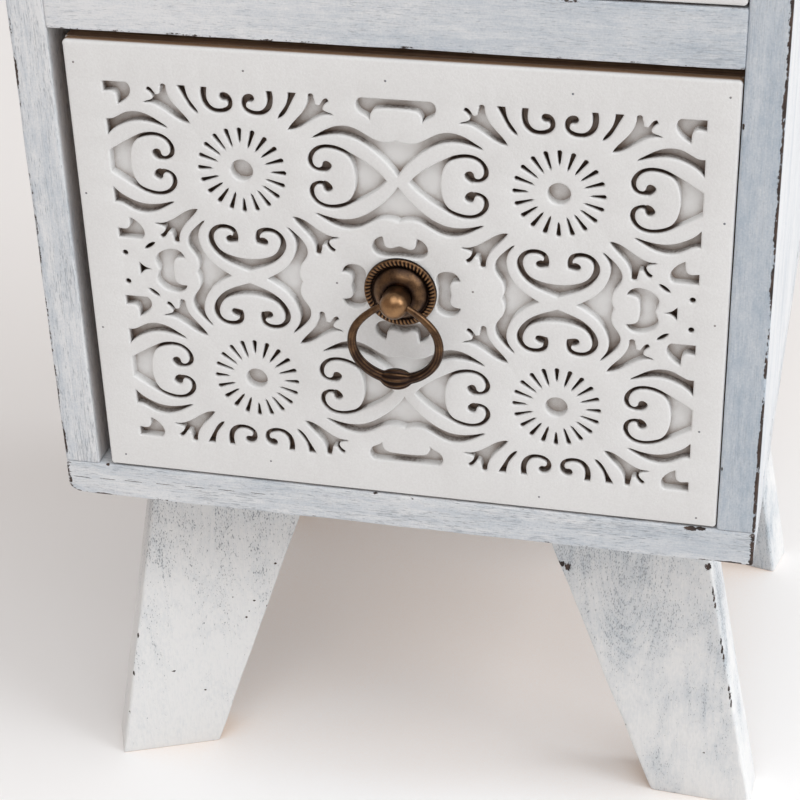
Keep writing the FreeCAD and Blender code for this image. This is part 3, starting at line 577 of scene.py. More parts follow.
def box_wood(along):
    """The recipe for a drawer box's wood, its grain along one direction."""
    return lambda shade: sawn_wood(shade, colours().box_light, colours().box_dark, along)


def plywood(along):
    """The recipe for plywood, its grain along one direction."""
    return lambda shade: sawn_wood(shade, colours().ply_light, colours().ply_dark, along)


def brass_finish(shade):
    """Antique brass: rubbed bright where the relief stands high, brown black in the hollows."""
    place = shade.place()
    smear = place.noise(330, 3.0, 0.6)
    speck = place.noise(2400, 2.0, 0.6)
    bright = (shade.value("relief") + (smear - 0.5) * 0.55 + (speck - 0.5) * 0.25).rise(0.1, 1.1)
    colour = bright.between(colours().brass_low, colours().brass_high)
    roughness = 0.34 - bright * 0.08 + speck * 0.06
    seal(shade, colour, roughness, speck * 0.4 + smear * 0.6, 0.03 * MM, Metallic=1.0)


def zinc_finish(shade):
    """Zinc plating with fine scratches."""
    place = shade.place()
    scratch = place.stretched(1, 1, 0.1).noise(2600, 2.0, 0.6)
    zinc = colours().zinc
    colour = place.noise(260).between(np.array(zinc) * 0.7, zinc)
    seal(shade, colour, 0.34 + scratch * 0.2, scratch, 0.02 * MM, Metallic=1.0)


def brad_finish(shade):
    """Small steel brads, dull and dark, touched with the panel's paint."""
    smear = shade.place().noise(1500)
    colour = smear.rise(0.35, 0.7).between(colours().brad, colours().pore)
    seal(shade, colour, 0.5, smear, 0.02 * MM)


def floor_finish(shade):
    """Matt pale floor, with a painted warm shade where the chest stands close over it."""
    stage = bpy.context.scene.semainier_stage
    tone = shade.open_air(FLOOR_SHADE_REACH, 8).rise(0.15, 0.6).between(stage.floor_warm_shade, stage.floor)
    seal(shade, tone, 0.75)


FINISHES = {
    "brushed_whitewash": whitewash,
    "leg_white": leg_finish,
    "fretwork_satin": fret_finish,
    "backing_white": backing_finish,
    "drawer_side_wood": box_wood(1),
    "drawer_back_wood": box_wood(0),
    "drawer_floor_ply": plywood(0),
    "back_ply": plywood(2),
    "antique_brass": brass_finish,
    "zinc_plate": zinc_finish,
    "brad_steel": brad_finish,
    "pale_floor": floor_finish,
}
MADE_FINISHES = {}


def finish(name):
    """A finish's material by name, made once by its recipe."""
    if name not in MADE_FINISHES:
        material = bpy.data.materials.new(name)
        material.use_nodes = True
        material.node_tree.nodes.clear()
        FINISHES[name](Shade(material.node_tree))
        MADE_FINISHES[name] = material
    return MADE_FINISHES[name]


def closed_tube(points):
    """Faces of a closed skin over rings of points: quads between neighbouring rings, a flat cap on each end.

    points has the shape (rings, points in a ring, 3); a ring runs anticlockwise against the rings' order.
    """
    rings, around = points.shape[:2]
    index = np.arange(rings * around).reshape(rings, around)
    ahead = np.roll(index, -1, axis=1)
    quads = np.stack([index[:-1], ahead[:-1], ahead[1:], index[1:]], axis=-1).reshape(-1, 4)
    return {"points": points.reshape(-1, 3), "faces": [quads, index[:1, ::-1], index[-1:]]}


def joined(skins):
    """Several skins as one: their points and values end to end, with face numbers moved on to match."""
    starts = np.cumsum([0] + [len(skin["points"]) for skin in skins[:-1]])
    whole = {key: np.concatenate([skin[key] for skin in skins]) for key in skins[0] if key != "faces"}
    whole["faces"] = [faces + start for skin, start in zip(skins, starts) for faces in skin["faces"]]
    return whole


def moved(skin, offset):
    """The same skin, shifted."""
    return {**skin, "points": skin["points"] + np.asarray(offset)}


def make_piece(name, skin, body, finish_name, slot, *nodes):
    """Put a skin into a mesh object with its values, finish, body and the CAD nodes that it stands for."""
    points = np.asarray(skin["points"], np.float32)
    corners = np.concatenate([faces.ravel() for faces in skin["faces"]]).astype(np.int32)
    counts = np.concatenate([np.full(len(faces), faces.shape[1]) for faces in skin["faces"]])
    mesh = bpy.data.meshes.new(name)
    mesh.vertices.add(len(points))
    mesh.vertices.foreach_set("co", points.ravel())
    mesh.loops.add(len(corners))
    mesh.loops.foreach_set("vertex_index", corners)
    mesh.polygons.add(len(counts))
    starts = np.concatenate(([0], np.cumsum(counts)[:-1])).astype(np.int32)
    mesh.polygons.foreach_set("loop_start", starts)
    mesh.update(calc_edges=True)
    mesh.polygons.foreach_set("use_smooth", counts == 4)
    for key in skin:
        if key not in ("points", "faces"):
            values = np.asarray(skin[key], np.float32)
            kind, field = ("FLOAT_VECTOR", "vector") if values.ndim == 2 else ("FLOAT", "value")
            mesh.attributes.new(key, kind, "POINT").data.foreach_set(field, values.ravel())
    mesh.set_sharp_from_angle(angle=SHARP_ANGLE)
    if mesh.validate():
        raise RuntimeError(f"{name} has faces that Blender had to mend")
    mesh.materials.append(finish(finish_name))
    piece = bpy.data.objects.new(name, mesh)
    bpy.context.scene.collection.objects.link(piece)
    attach(piece, body)
    if nodes:
        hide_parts(*nodes)
    return piece


def board_section(halves, rounding):
    """One turn round a board's section.

    Each corner gives a quarter circle, then points along the next face at set distances from its two corners,
    with one in its middle. A point is kept as the signs of its corner, its shares of the corner's radius, its
    set-back along the face, whether it is in the middle, its corner and its distance from it.
    """
    points = []
    for corner in range(4):
        following = (corner + 1) % 4
        along = corner % 2
        angle = (corner + CORNER_ARC) * QUARTER
        setbacks = FACE_SETBACKS + WIDEST_ROUNDING * rounding[[corner, following], None]
        first, last = (back[back < FACE_SHARE * halves[along]] for back in setbacks)
        arc, near, middle, far = (np.zeros(n, SECTION_POINT) for n in (len(angle), len(first), 1, len(last)))
        arc["share"] = 1 - np.abs(np.stack([np.cos(angle), np.sin(angle)], axis=1))
        near["back"][:, along] = near["distance"] = first
        middle["middle"], middle["distance"] = 1 + along, halves[along]
        far["back"][:, along] = far["distance"] = last[::-1]
        for part, owner in ((arc, corner), (near, corner), (middle, corner), (far, following)):
            part["sign"], part["corner"] = CORNER_SIGNS[owner], owner
            points.append(part)
    return np.concatenate(points)


def wandering(places, count, seed):
    """Random lines from -1 to 1 along places, one for each corner, straight between random knots."""
    rng = np.random.default_rng(seed)
    knots = np.arange(-KNOT_STEP, places.max() + 2 * KNOT_STEP, KNOT_STEP)
    lines = rng.uniform(-1, 1, (count, len(knots)))
    return np.stack([np.interp(places, knots, line) for line in lines], axis=1)


def worn_board(origin, axes, length, half_a, half_b, rounding, end_rounding, wear, end_wear, seed, thin,
               shift=(0, 0)):
    """A sawn board: a rounded rectangle carried along its run, drawn in along a quarter circle at each end.

    axes are the run and the section's two directions. half_a and shift give the section's half width and its
    middle at both ends, with straight lines between. rounding and wear are given for the four long edges,
    end_rounding for the four sides of both ends and end_wear for those of each end. The edge value is an
    edge's wear less the distance from it, as a share of the wear's reach; grain is the place in the board,
    along the grain first; thin says at both ends how thin the paint is.
    """
    rounding, end_rounding = np.asarray(rounding, float), np.asarray(end_rounding)
    table = board_section((min(half_a), half_b), rounding)
    sign, share, back, middle, corner = (table[key] for key in ("sign", "share", "back", "middle", "corner"))
    on_arc = share.sum(1) > 0
    toward = np.where(on_arc[:, None], (1 - share) ** 2, back == 0)
    toward = np.where((middle > 0)[:, None], np.stack([middle == 2, middle == 1], axis=1), toward)
    toward = toward / toward.sum(1, keepdims=True)
    side_a, side_b = np.where(sign[:, 0] > 0, 0, 2), np.where(sign[:, 1] > 0, 1, 3)

    radius_a, radius_b = end_rounding[side_a], end_rounding[side_b]
    cap = np.minimum(END_CAP, CAP_SHARE * half_b)[:, None]
    drawn = (1 - np.cos(END_TURN))[:, None]
    pull = toward[:, 0] * radius_a + toward[:, 1] * radius_b
    end_run = pull * (1 - np.sin(END_TURN))[:, None] + END_PAST[:, None]
    end_a, end_b = radius_a * drawn + cap, radius_b * drawn + cap
    worn_ends = [toward[:, 0] * worn[side_a] + toward[:, 1] * worn[side_b] for worn in np.asarray(end_wear)]
    fade = (cap + END_PAST[:, None]) / WEAR_REACH
    stop = END_PAST[-1] + end_rounding.max()
    steps = max(2, int((length - 2 * stop) / STATION_STEP))
    between = np.linspace(stop, length - stop, steps + 2)[1:-1, None] + np.zeros(len(table))
    still = np.zeros_like(between)
    run = np.concatenate([end_run, between, length - end_run[::-1]])
    in_a, in_b = (np.concatenate([inset, still, inset[::-1]]) for inset in (end_a, end_b))
    end_edge = np.concatenate([worn_ends[0] - fade, still, (worn_ends[1] - fade)[::-1]])

    place = run / length
    width = half_a[0] + (half_a[1] - half_a[0]) * place
    centre = shift[0] + (shift[1] - shift[0]) * place
    wobble = wandering(run[:, 0], 4, seed)
    radius = (rounding * (1 + WOBBLE * wobble + DENT * np.maximum(wobble - DENT_FROM, 0)))[:, corner]
    a = (width - in_a) * (1 - back[:, 0] / width) - share[:, 0] * radius
    b = (half_b - in_b) * (1 - back[:, 1] / half_b) - share[:, 1] * radius
    a = np.where(middle == 1, 0, sign[:, 0] * a)
    b = np.where(middle == 2, 0, sign[:, 1] * b)
    local = np.stack([run, centre + a, b], axis=-1)
    skin = closed_tube(np.asarray(origin) + local @ np.asarray(axes))
    long_edge = np.asarray(wear)[corner] - table["distance"] / WEAR_REACH + np.zeros_like(run)
    skin["edge"] = np.maximum(np.maximum(long_edge, end_edge), 0).ravel()
    skin["grain"] = (local + np.random.default_rng(seed).uniform(0, GRAIN_SPREAD, 3)).reshape(-1, 3)
    skin["thin"] = (thin[0] + (thin[1] - thin[0]) * place).ravel()
    return skin


def rounded_corner(points, corner, radii):
    """Round a board's outline at one corner, seen from the front.

    corner gives the corner's x and z, radii how far the rounding goes along each, with the sign that leads
    into the board. A point in that square is drawn to the middle of the round by the greater of its two
    shares over their length, which turns the square into a quarter circle.
    """
    share = 1 - (points[:, [0, 2]] - corner) / radii
    within = (share > 0).all(axis=1) & (share <= 1 + 1e-6).all(axis=1)
    length = np.maximum(np.linalg.norm(share, axis=1, keepdims=True), 1e-9)
    drawn = share * share.max(axis=1, keepdims=True) / length
    points = points.copy()
    points[:, [0, 2]] = np.where(within[:, None], corner + (1 - drawn) * radii, points[:, [0, 2]])
    return points


def inside_depth(points):
    """0 where paint covers the chest's inner faces behind its front edge, 1 from where they are bare."""
    base_low, base_high = node_box("base_board")
    low = np.array((node_box("side_left")[1][0], base_low[1], base_high[2]))
    high = np.array((node_box("side_right")[0][0], node_box("back_panel")[1][1], node_box("top_board")[0][2]))
    within = ((points > low - TOUCHING) & (points < high + TOUCHING)).all(axis=1)
    return within * ramp(points[:, 1] - low[1], *INNER_PAINT)


def plain_board(low, high, axes, rounding, wear, end_wear, seed, thin, open_grain, face_thin=None):
    """A worn board that fills a box, with its run along the first of its axes.

    thin and open_grain are given for its two ends; face_thin, if given, holds behind the front edge instead.
    """
    run, a, b = (int(np.argmax(axis)) for axis in axes)
    half = (high - low) / 2
    origin = (low + high) / 2
    origin[run] = low[run]
    skin = worn_board(origin, axes, 2 * half[run], (half[a], half[a]), half[b], rounding, rounding, wear,
                      end_wear, seed, thin)
    points = skin["points"]
    if face_thin is not None:
        skin["thin"] += (face_thin - skin["thin"]) * ramp(points[:, 1] - low[1], *EDGE_FINISH)
    skin["open"] = np.interp(points[:, run], (low[run], high[run]), open_grain)
    skin["bare"] = inside_depth(points)
    return skin


def rail_boxes():
    """The lowest and highest corner of each rail: the rails' box divided by the drawers' pitch."""
    low, high = node_box("front_rails")
    pitch = node_box("drawer_2_front_board")[0][2] - node_box("drawer_1_front_board")[0][2]
    count = len(DRAWERS) - 1
    for rail in range(count):
        step = np.array((0, 0, rail * pitch))
        yield low + step, high + step - (0, 0, (count - 1) * pitch)


class SEMAINIER_OT_carcass(bpy.types.Operator):
    """Make the worn, whitewashed boards of the carcass: two sides, the base, the top and the rails"""
    bl_idname = "semainier.carcass"
    bl_label = "Carcass boards"

    def execute(self, context):
        size = sizes()
        soft = size.board_rounding
        even = [soft] * 4
        crowned = [soft, size.top_rounding, soft, soft]
        for node, (name, axes, *plan) in BOARDS.items():
            rounding = crowned if node == "top_board" else even
            skin = plain_board(*node_box(node), axes, rounding, *plan)
            if node == "base_board":
                corner, radii = node_box(node)[0][[0, 2]], BASE_END_STRETCH * size.base_end_rounding
                skin["points"] = rounded_corner(skin["points"], corner, radii)
            make_piece(name, skin, "carcass", "brushed_whitewash", "whitewashed_wood", node)
        rails = [plain_board(*box, X_RUN, even, RAIL_WEAR, UNWORN, RAIL_SEED + rail, RAIL_THIN, RAIL_OPEN)
                 for rail, box in enumerate(rail_boxes())]
        make_piece("front_rail_boards", joined(rails), "carcass", "brushed_whitewash", "whitewashed_wood",
                   "front_rails")
        return {"FINISHED"}


def leg_frame(node, side, turn):
    """Where a leg's bolt meets the floor, and the leg's directions: up, outward and through the board."""
    low, high = node_box("base_board")
    rear = node_box("back_panel")[1][1]
    row = low[1] + LEG_INSET_END if node == "front_legs" else rear - LEG_INSET_END
    angle = math.radians(turn)
    outward = np.array((side * math.cos(angle), -math.sin(angle), 0))
    up = np.array((0, 0, 1.0))
    origin = np.array((side * (high[0] - LEG_INSET_SIDE), row, 0))
    return origin, np.stack([up, outward, np.cross(up, outward)])


def leg_chips():
    """The chips on the legs' outer faces as eggs: their middles, and their half sizes."""
    eggs = []
    for node, legs in LEGS.items():
        for side, turn, _seed, _cloudy, chips in legs:
            origin, (up, outward, through) = leg_frame(node, side, turn)
            face = origin + through * LEG_THICKNESS / 2 * (-side if node == "front_legs" else side)
            eggs += [(face + up * rise * MM + outward * out * MM, (wide * MM, wide * MM, tall * MM))
                     for out, rise, wide, tall in chips]
    return eggs


def leg_board(node, side, turn, seed, cloudy):
    """A leg: a board that stands on its foot, narrowing and leaning out towards it, turned about its bolt."""
    origin, axes = leg_frame(node, side, turn)
    shift = (LEG_FOOT_OUTER + LEG_FOOT_INNER) / 2, (LEG_TOP_OUTER - LEG_TOP_INNER) / 2
    half = (LEG_FOOT_OUTER - LEG_FOOT_INNER) / 2, (LEG_TOP_OUTER + LEG_TOP_INNER) / 2
    height = node_box("base_board")[0][2]
    skin = worn_board(origin, axes, height, half, LEG_THICKNESS / 2, [sizes().leg_rounding] * 4,
                      [LEG_END_ROUNDING] * 4, [LEG_WEAR] * 4, [[LEG_FOOT_WEAR] * 4, [LEG_TOP_WEAR] * 4],
                      seed, (0.4 * cloudy - 0.1, 1.0), shift)
    skin["open"] = np.full(len(skin["points"]), cloudy)
    return skin


class SEMAINIER_OT_legs(bpy.types.Operator):
    """Make the four splayed legs with softened, chipped edges"""
    bl_idname = "semainier.legs"
    bl_label = "Legs"

    def execute(self, context):
        for node, legs in LEGS.items():
            skins = [leg_board(node, side, turn, seed, cloudy) for side, turn, seed, cloudy, _chips in legs]
            make_piece(f"{node}_painted", joined(skins), "carcass", "leg_white", "leg_paint", node)
        return {"FINISHED"}


def face_outline(node):
    """The outlines of a node's front face, read from its CAD mesh.

    Points that lie on the frontmost plane are merged, and an edge that only one triangle of that plane uses
    is on an outline. Returns the points as x and z, and for each the next point along its outline, with the
    material on the left.
    """
    mesh = frame["nodes"][node].data
    points = np.empty(len(mesh.vertices) * 3, np.float32)
    mesh.vertices.foreach_get("co", points)
    mesh.calc_loop_triangles()
    triangles = np.empty(len(mesh.loop_triangles) * 3, np.int32)
    mesh.loop_triangles.foreach_get("vertices", triangles)
    points, same = np.unique(np.round(points.reshape(-1, 3), 7), axis=0, return_inverse=True)
    triangles = same.ravel()[triangles].reshape(-1, 3)
    flat = np.abs(points[triangles][:, :, 1] - points[:, 1].min()) < 0.001 * MM
    triangles = triangles[flat.all(axis=1)]
    edges = np.concatenate([triangles[:, pair] for pair in ([0, 1], [1, 2], [2, 0])]).astype(np.int64)
    code = edges @ np.array((len(points), 1))
    edges = edges[~np.isin(code, edges @ np.array((1, len(points))))]
    used, number = np.unique(edges, return_inverse=True)
    number = number.reshape(-1, 2)
    following = np.empty(len(used), int)
    following[number[:, 0]] = number[:, 1]
    return split_outline(points[used][:, [0, 2]].astype(float), following)


def split_outline(points, following):
    """The same outlines with each long edge cut into equal short ones."""
    way = points[following] - points
    parts = np.ceil(np.linalg.norm(way, axis=1) / OUTLINE_STEP).astype(int)
    starts = np.cumsum(parts) - parts
    owner = np.repeat(np.arange(len(points)), parts)
    step = np.arange(parts.sum()) - starts[owner]
    finer = points[owner] + way[owner] * (step / parts[owner])[:, None]
    ahead = np.where(step + 1 < parts[owner], np.arange(len(owner)) + 1, starts[following[owner]])
    return finer, ahead


def room_ahead(points, direction):
    """At each outline point, the radius of the largest disc that touches it from one side and meets no other.

    Only points at nearly the same height are looked at, which is enough for discs smaller than their reach.
    """
    room = np.empty(len(points))
    order = np.argsort(points[:, 1])
    for start in range(0, len(points), BATCH):
        part = order[start:start + BATCH]
        lowest, highest = points[part[[0, -1]], 1]
        near = points[(points[:, 1] > lowest - ROOM_REACH) & (points[:, 1] < highest + ROOM_REACH)]
        apart = near[None] - points[part, None]
        ahead = np.einsum("ijk,ik->ij", apart, direction[part])
        reach = np.einsum("ijk,ijk->ij", apart, apart) / np.maximum(2 * ahead, 1e-12)
        room[part] = np.where(ahead > 1e-9, reach, np.inf).min(axis=1)
    return room


def filled(points, following):
    """Triangles that fill the outlines, holes left open.

    A triangle of the whole field is kept where a line from its middle to the right crosses the outlines an
    odd number of times.
    """
    edges = np.stack([np.arange(len(points)), following], axis=1).tolist()
    flat = [Vector(point) for point in points / MM]
    made, _edges, faces, origin = delaunay_2d_cdt(flat, edges, [], 0, 1e-7)[:4]
    if len(made) != len(points):
        raise RuntimeError("the fretwork's outlines cross")
    source = np.array([first[0] for first in origin])
    triangles = source[np.array(faces)]
    middles = points[triangles].mean(axis=1)
    ends = points[following]
    way = ends - points
    slope = way[:, 0] / np.where(way[:, 1] == 0, 1, way[:, 1])
    inside = np.empty(len(middles), bool)
    order = np.argsort(middles[:, 1])
    for first in range(0, len(middles), BATCH):
        part = order[first:first + BATCH]
        x, z = middles[part, :1], middles[part, 1:]
        near = (np.maximum(points, ends)[:, 1] > z[0]) & (np.minimum(points, ends)[:, 1] < z[-1])
        start, end = points[near], ends[near]
        spans = (start[:, 1] > z) != (end[:, 1] > z)
        crossed = spans & (start[:, 0] + (z - start[:, 1]) * slope[near] > x)
        inside[part] = crossed.sum(axis=1) % 2 == 1
    return triangles[inside]


def pierced_panel(node):
    """A fretwork panel: its outlines drawn in at the front by a quarter circle, then carried straight back.

    The quarter circle's radius shrinks where the wood is thin. Cuts that stay narrow for a while are opened a
    little on each side, and the bare value grows with depth in them, partly the bare cut and partly painted
    shade. The side value is 1 on the panel's rim behind its rounding.
    """
    size = sizes()
    low, high = node_box(node)
    points, following = face_outline(node)
    count = len(points)
    before = np.empty(count, int)
    before[following] = np.arange(count)
    inward = np.zeros((count, 2))
    for way in (points - points[before], points[following] - points):
        inward += np.stack([-way[:, 1], way[:, 0]], axis=1) / np.linalg.norm(way, axis=1, keepdims=True)
    inward /= np.linalg.norm(inward, axis=1, keepdims=True)
    to_rim = np.minimum(points - low[[0, 2]], high[[0, 2]] - points).min(axis=1)
    on_rim = to_rim < RIM_BAND
    rounding = np.where(on_rim, size.panel_rounding, size.fret_rounding)
    rounding = np.minimum(rounding, ROUNDED_SHARE * room_ahead(points, inward))
    widest = room_ahead(points, -inward)
    for _step in range(SLIM_STEPS):
        widest = np.maximum(widest, np.maximum(widest[before], widest[following]))
    narrow = 1 - ramp(widest, *SLIM_ROOM)
    widening = np.where(on_rim, 0, np.maximum(size.fret_widening - WIDENED_SHARE * widest, 0))
    for _step in range(SLIM_STEPS):
        widening = (widening[before] + 2 * widening + widening[following]) / 4

    turn = np.linspace(0, QUARTER, 5)[:, None]
    inset = widening + np.concatenate([rounding * (1 - np.sin(turn)), np.zeros((2, count))])
    depth = np.concatenate([rounding * (1 - np.cos(turn)), np.full((1, count), WALL_RING),
                            np.full((1, count), high[1] - low[1])])
    flat = points + inset[:, :, None] * inward
    rings = np.stack([flat[..., 0], low[1] + depth, flat[..., 1]], axis=-1)
    index = np.arange(depth.size).reshape(depth.shape)
    ahead = index[:, following]
    walls = np.stack([index[:-1], index[1:], ahead[1:], ahead[:-1]], axis=-1).reshape(-1, 4)
    front = filled(flat[0], following)
    # The narrow cuts' walls go brown with depth: partly the bare cut, partly painted shade.
    bare = np.where(on_rim, 0, narrow * ramp(depth, *CUT_BARE))
    side = on_rim * ramp(depth, *SIDE_BARE)
    return {"points": rings.reshape(-1, 3), "faces": [walls, front, index[-1][front[:, ::-1]]],
            "bare": bare.ravel(), "side": side.ravel()}


def full_turn(count):
    """Angles evenly round a circle."""
    return np.arange(count) / count * math.tau


def brad_heads(low):
    """Low domes on the panel's face: a quarter circle turned about each brad's middle."""
    angle = full_turn(8)
    lift = np.linspace(0, QUARTER, 4)[:-1]
    radius = np.concatenate([[1], np.cos(lift), [0.1]])[:, None] * sizes().brad_radius
    rise = np.concatenate([[-0.4], np.sin(lift), [1]])[:, None] * sizes().brad_rise
    dome = np.stack([radius * np.cos(angle), 0 * angle - rise, radius * np.sin(angle)], axis=-1)
    return joined([closed_tube(low + (x * MM, 0, z * MM) + dome) for x, z in BRAD_PLACES])


class SEMAINIER_OT_fretwork(bpy.types.Operator):
    """Make every drawer's fretwork panel with softened cuts, and its brads"""
    bl_idname = "semainier.fretwork"
    bl_label = "Fretwork panels"

    def execute(self, context):
        first = node_box("drawer_1_fret_panel")[0]
        panel = pierced_panel("drawer_1_fret_panel")
        brads = brad_heads(first)
        for body in DRAWERS:
            node = f"{body}_fret_panel"
            lift = node_box(node)[0] - first
            make_piece(f"{body}_fretwork", moved(panel, lift), body, "fretwork_satin", "fret_paint", node)
            make_piece(f"{body}_brads", moved(brads, lift), body, "brad_steel", "zinc_steel")
        return {"FINISHED"}


def turned(profile, angle, sunk, relief, centre):
    """A profile of radius and reach turned about the pull's axis, which points to the front.

    sunk gives, for each profile point and angle, how deep the skin is carved along the profile's normal, and
    relief how high it stands.
    """
    step = np.gradient(profile, axis=0)
    normal = np.stack([-step[:, 1], step[:, 0]], axis=1) / np.linalg.norm(step, axis=1, keepdims=True)
    radius = profile[:, :1] + normal[:, :1] * sunk
    reach = profile[:, 1:] + normal[:, 1:] * sunk
    rings = np.stack([radius * np.cos(angle), -reach, radius * np.sin(angle)], axis=-1) + centre
    skin = closed_tube(rings)
    skin["relief"] = relief.ravel()
    return skin


def rosette(centre):
    """The pull's casting: a rope-twisted rim, a convex dome, a groove, and a post with a rounded end.

    The rim is a half ellipse with slanting ridges; the dome a quarter ellipse that falls to the groove; the
    post swells a little up to its rounded end, which is half a circle. Each stretch of the profile comes with
    how far it is rubbed bright.
    """
    size = sizes()
    half = ROSETTE_RIM_WIDTH / 2
    rim_middle = ROSETTE_RADIUS - half
    turn = np.linspace(0, math.pi, 17)
    share = np.linspace(0, 1, 15)
    neck = np.linspace(0, 1, 8)
    rise = np.linspace(0, QUARTER, 14)[:-1]
    rim_foot, rim_lean = 0.9 * MM, 0.1 * MM
    rim_rise = ROSETTE_RIM - rim_foot - 0.16 * MM
    dome_edge, dome_foot = rim_middle - half - 0.2 * MM, POST_RADIUS + 0.35 * MM
    neck_start, neck_end = ROSETTE_DOME - 0.4 * MM, PULL_AXIS_REACH - 0.6 * MM

    back = [(0.5 * MM, 0.0), (ROSETTE_RADIUS - 0.3 * MM, 0.0), (ROSETTE_RADIUS, 0.3 * MM)]
    rim = np.stack([rim_middle + half * np.cos(turn),
                    rim_foot + rim_lean * turn + rim_rise * np.sin(turn)], axis=1)
    dome = np.stack([dome_edge + (dome_foot - dome_edge) * share ** 1.15,
                     1.2 * MM + (ROSETTE_DOME - 1.3 * MM) * np.sin(1.72 * share) ** 0.9], axis=1)
    groove = [(POST_RADIUS + 0.1 * MM, ROSETTE_DOME - 0.6 * MM), (POST_RADIUS, ROSETTE_DOME - 0.5 * MM)]
    post = np.stack([POST_RADIUS + (BALL_RADIUS - POST_RADIUS) * np.sin(neck * QUARTER),
                     neck_start + (neck_end - neck_start) * neck], axis=1)
    ball = np.stack([BALL_RADIUS * np.cos(rise), PULL_AXIS_REACH + BALL_REACH * np.sin(rise)], axis=1)
    ball_end = [(0.12 * MM, PULL_AXIS_REACH + BALL_REACH)]
    stretches = [(back, [0, 0, 0.1]), (rim, 0.10 + 0.75 * np.sin(turn)),
                 (dome, 0.21 + 0.22 * np.sin(math.pi * share) ** 2), (groove, [0.22, 0.32]),
                 (post, 0.46 + 0.06 * neck), (ball, 0.50 + 0.26 * np.sin(rise)), (ball_end, [0.76])]
    profile, rubbed = (np.concatenate(parts) for parts in zip(*stretches))

    ridged = np.zeros((len(profile), 1))
    slant = np.zeros((len(profile), 1))
    on_rim = slice(len(back), len(back) + len(rim))
    ridged[on_rim, 0] = ramp(turn, *ROPE_FADE) * np.sin(turn) ** 0.4
    slant[on_rim, 0] = turn * ROPE_SLANT
    angle = full_turn(size.rope_twists * TWIST_POINTS)
    twist = 0.5 - 0.5 * np.cos(size.rope_twists * angle + slant)
    sunk = size.rope_depth * ridged * (1 - twist) ** ROPE_SHARPNESS
    relief = rubbed[:, None] * (1 - ridged * (1 - twist ** ROPE_SHARPNESS))
    return turned(profile, angle, sunk, relief, centre)


def pull_fixing(centre, inside):
    """The screw behind a pull: a domed head against the drawer's inside, and its shank."""
    dome = np.linspace(0, QUARTER, 6)
    head = np.stack([SCREW_HEAD_RADIUS * np.sin(dome), -inside - SCREW_HEAD * (0.35 + 0.65 * np.cos(dome))],
                    axis=1)
    head[0, 0] = 0.1 * MM
    shank = [(SCREW_HEAD_RADIUS, -inside), (SCREW_RADIUS, -inside), (SCREW_RADIUS, SCREW_BITE),
             (0.1 * MM, SCREW_BITE)]
    profile = np.concatenate([head, shank])
    angle = full_turn(SCREW_POINTS_AROUND)
    flat = np.zeros((len(profile), len(angle)))
    return turned(profile, angle, flat, flat + 0.4 + 0.3 * np.cos(2 * angle), centre)


def ring_line():
    """The middle of the ring's wire, across and up from the pin: pin, shoulder, half an oval, and back.

    The shoulder is a cubic curve from the pin to the oval.
    """
    sweep = np.linspace(RING_JOIN, math.pi, 61)
    oval = np.stack([RING_RADIUS * np.sin(sweep), RING_OVAL_HALF * np.cos(sweep) - RING_OVAL_DROP], axis=1)
    leaving = np.array((RING_RADIUS * math.cos(RING_JOIN), -RING_OVAL_HALF * math.sin(RING_JOIN)))
    last_pull = oval[0] - OVAL_PULL * leaving / np.linalg.norm(leaving)
    bend = np.linspace(0, 1, 15)[:-1, None]
    shoulder = ((1 - bend) ** 3 * PIN_END + 3 * bend * (1 - bend) ** 2 * SHOULDER_PULL
                + 3 * bend ** 2 * (1 - bend) * last_pull + bend ** 3 * oval[0])
    pin = np.linspace(PIN_START, PIN_END, 3)[:-1]
    half = np.concatenate([pin, shoulder, oval])
    return np.concatenate([half * (-1, 1), half[-2::-1]])


def ring(centre):
    """The swinging ring: a tube along its line that thickens towards the bottom.

    There it swells to the bead along a flattened parabola, and a cosine round the tube cuts flutes that fade
    towards the pins.
    """
    size = sizes()
    line = ring_line()
    step = np.gradient(line, axis=0)
    run = np.concatenate([[0], np.cumsum(np.linalg.norm(np.diff(line, axis=0), axis=1))])
    step /= np.linalg.norm(step, axis=1, keepdims=True)
    across = np.stack([-step[:, 1], step[:, 0]], axis=1)

    from_bottom = np.abs(run - run[-1] / 2)[:, None]
    share = 1 - from_bottom / from_bottom.max()
    swell = (1 - ramp(from_bottom, 0, BEAD_HALF) ** 2) ** 0.8
    wire = size.ring_thin + (size.ring_thick - size.ring_thin) * share ** 0.8
    thick = wire + (BEAD_RADIUS - wire) * swell
    angle = full_turn(RING_POINTS_AROUND)
    flute = (0.5 - 0.5 * np.cos(size.ring_flutes * angle)) ** 1.6
    carved = ramp(share, *FLUTE_FADE) * (0.8 + 0.5 * swell) * flute
    radius = thick * (1 - FLUTE_DEPTH * carved)
    out = radius * np.cos(angle)
    side = radius * np.sin(angle)
    rings = np.stack([line[:, :1] + across[:, :1] * out, -side, line[:, 1:] + across[:, 1:] * out], axis=-1)
    tube = closed_tube(rings + centre)
    tube["relief"] = (0.44 - 0.12 * share + 0.1 * swell - 0.42 * carved).ravel()
    return tube


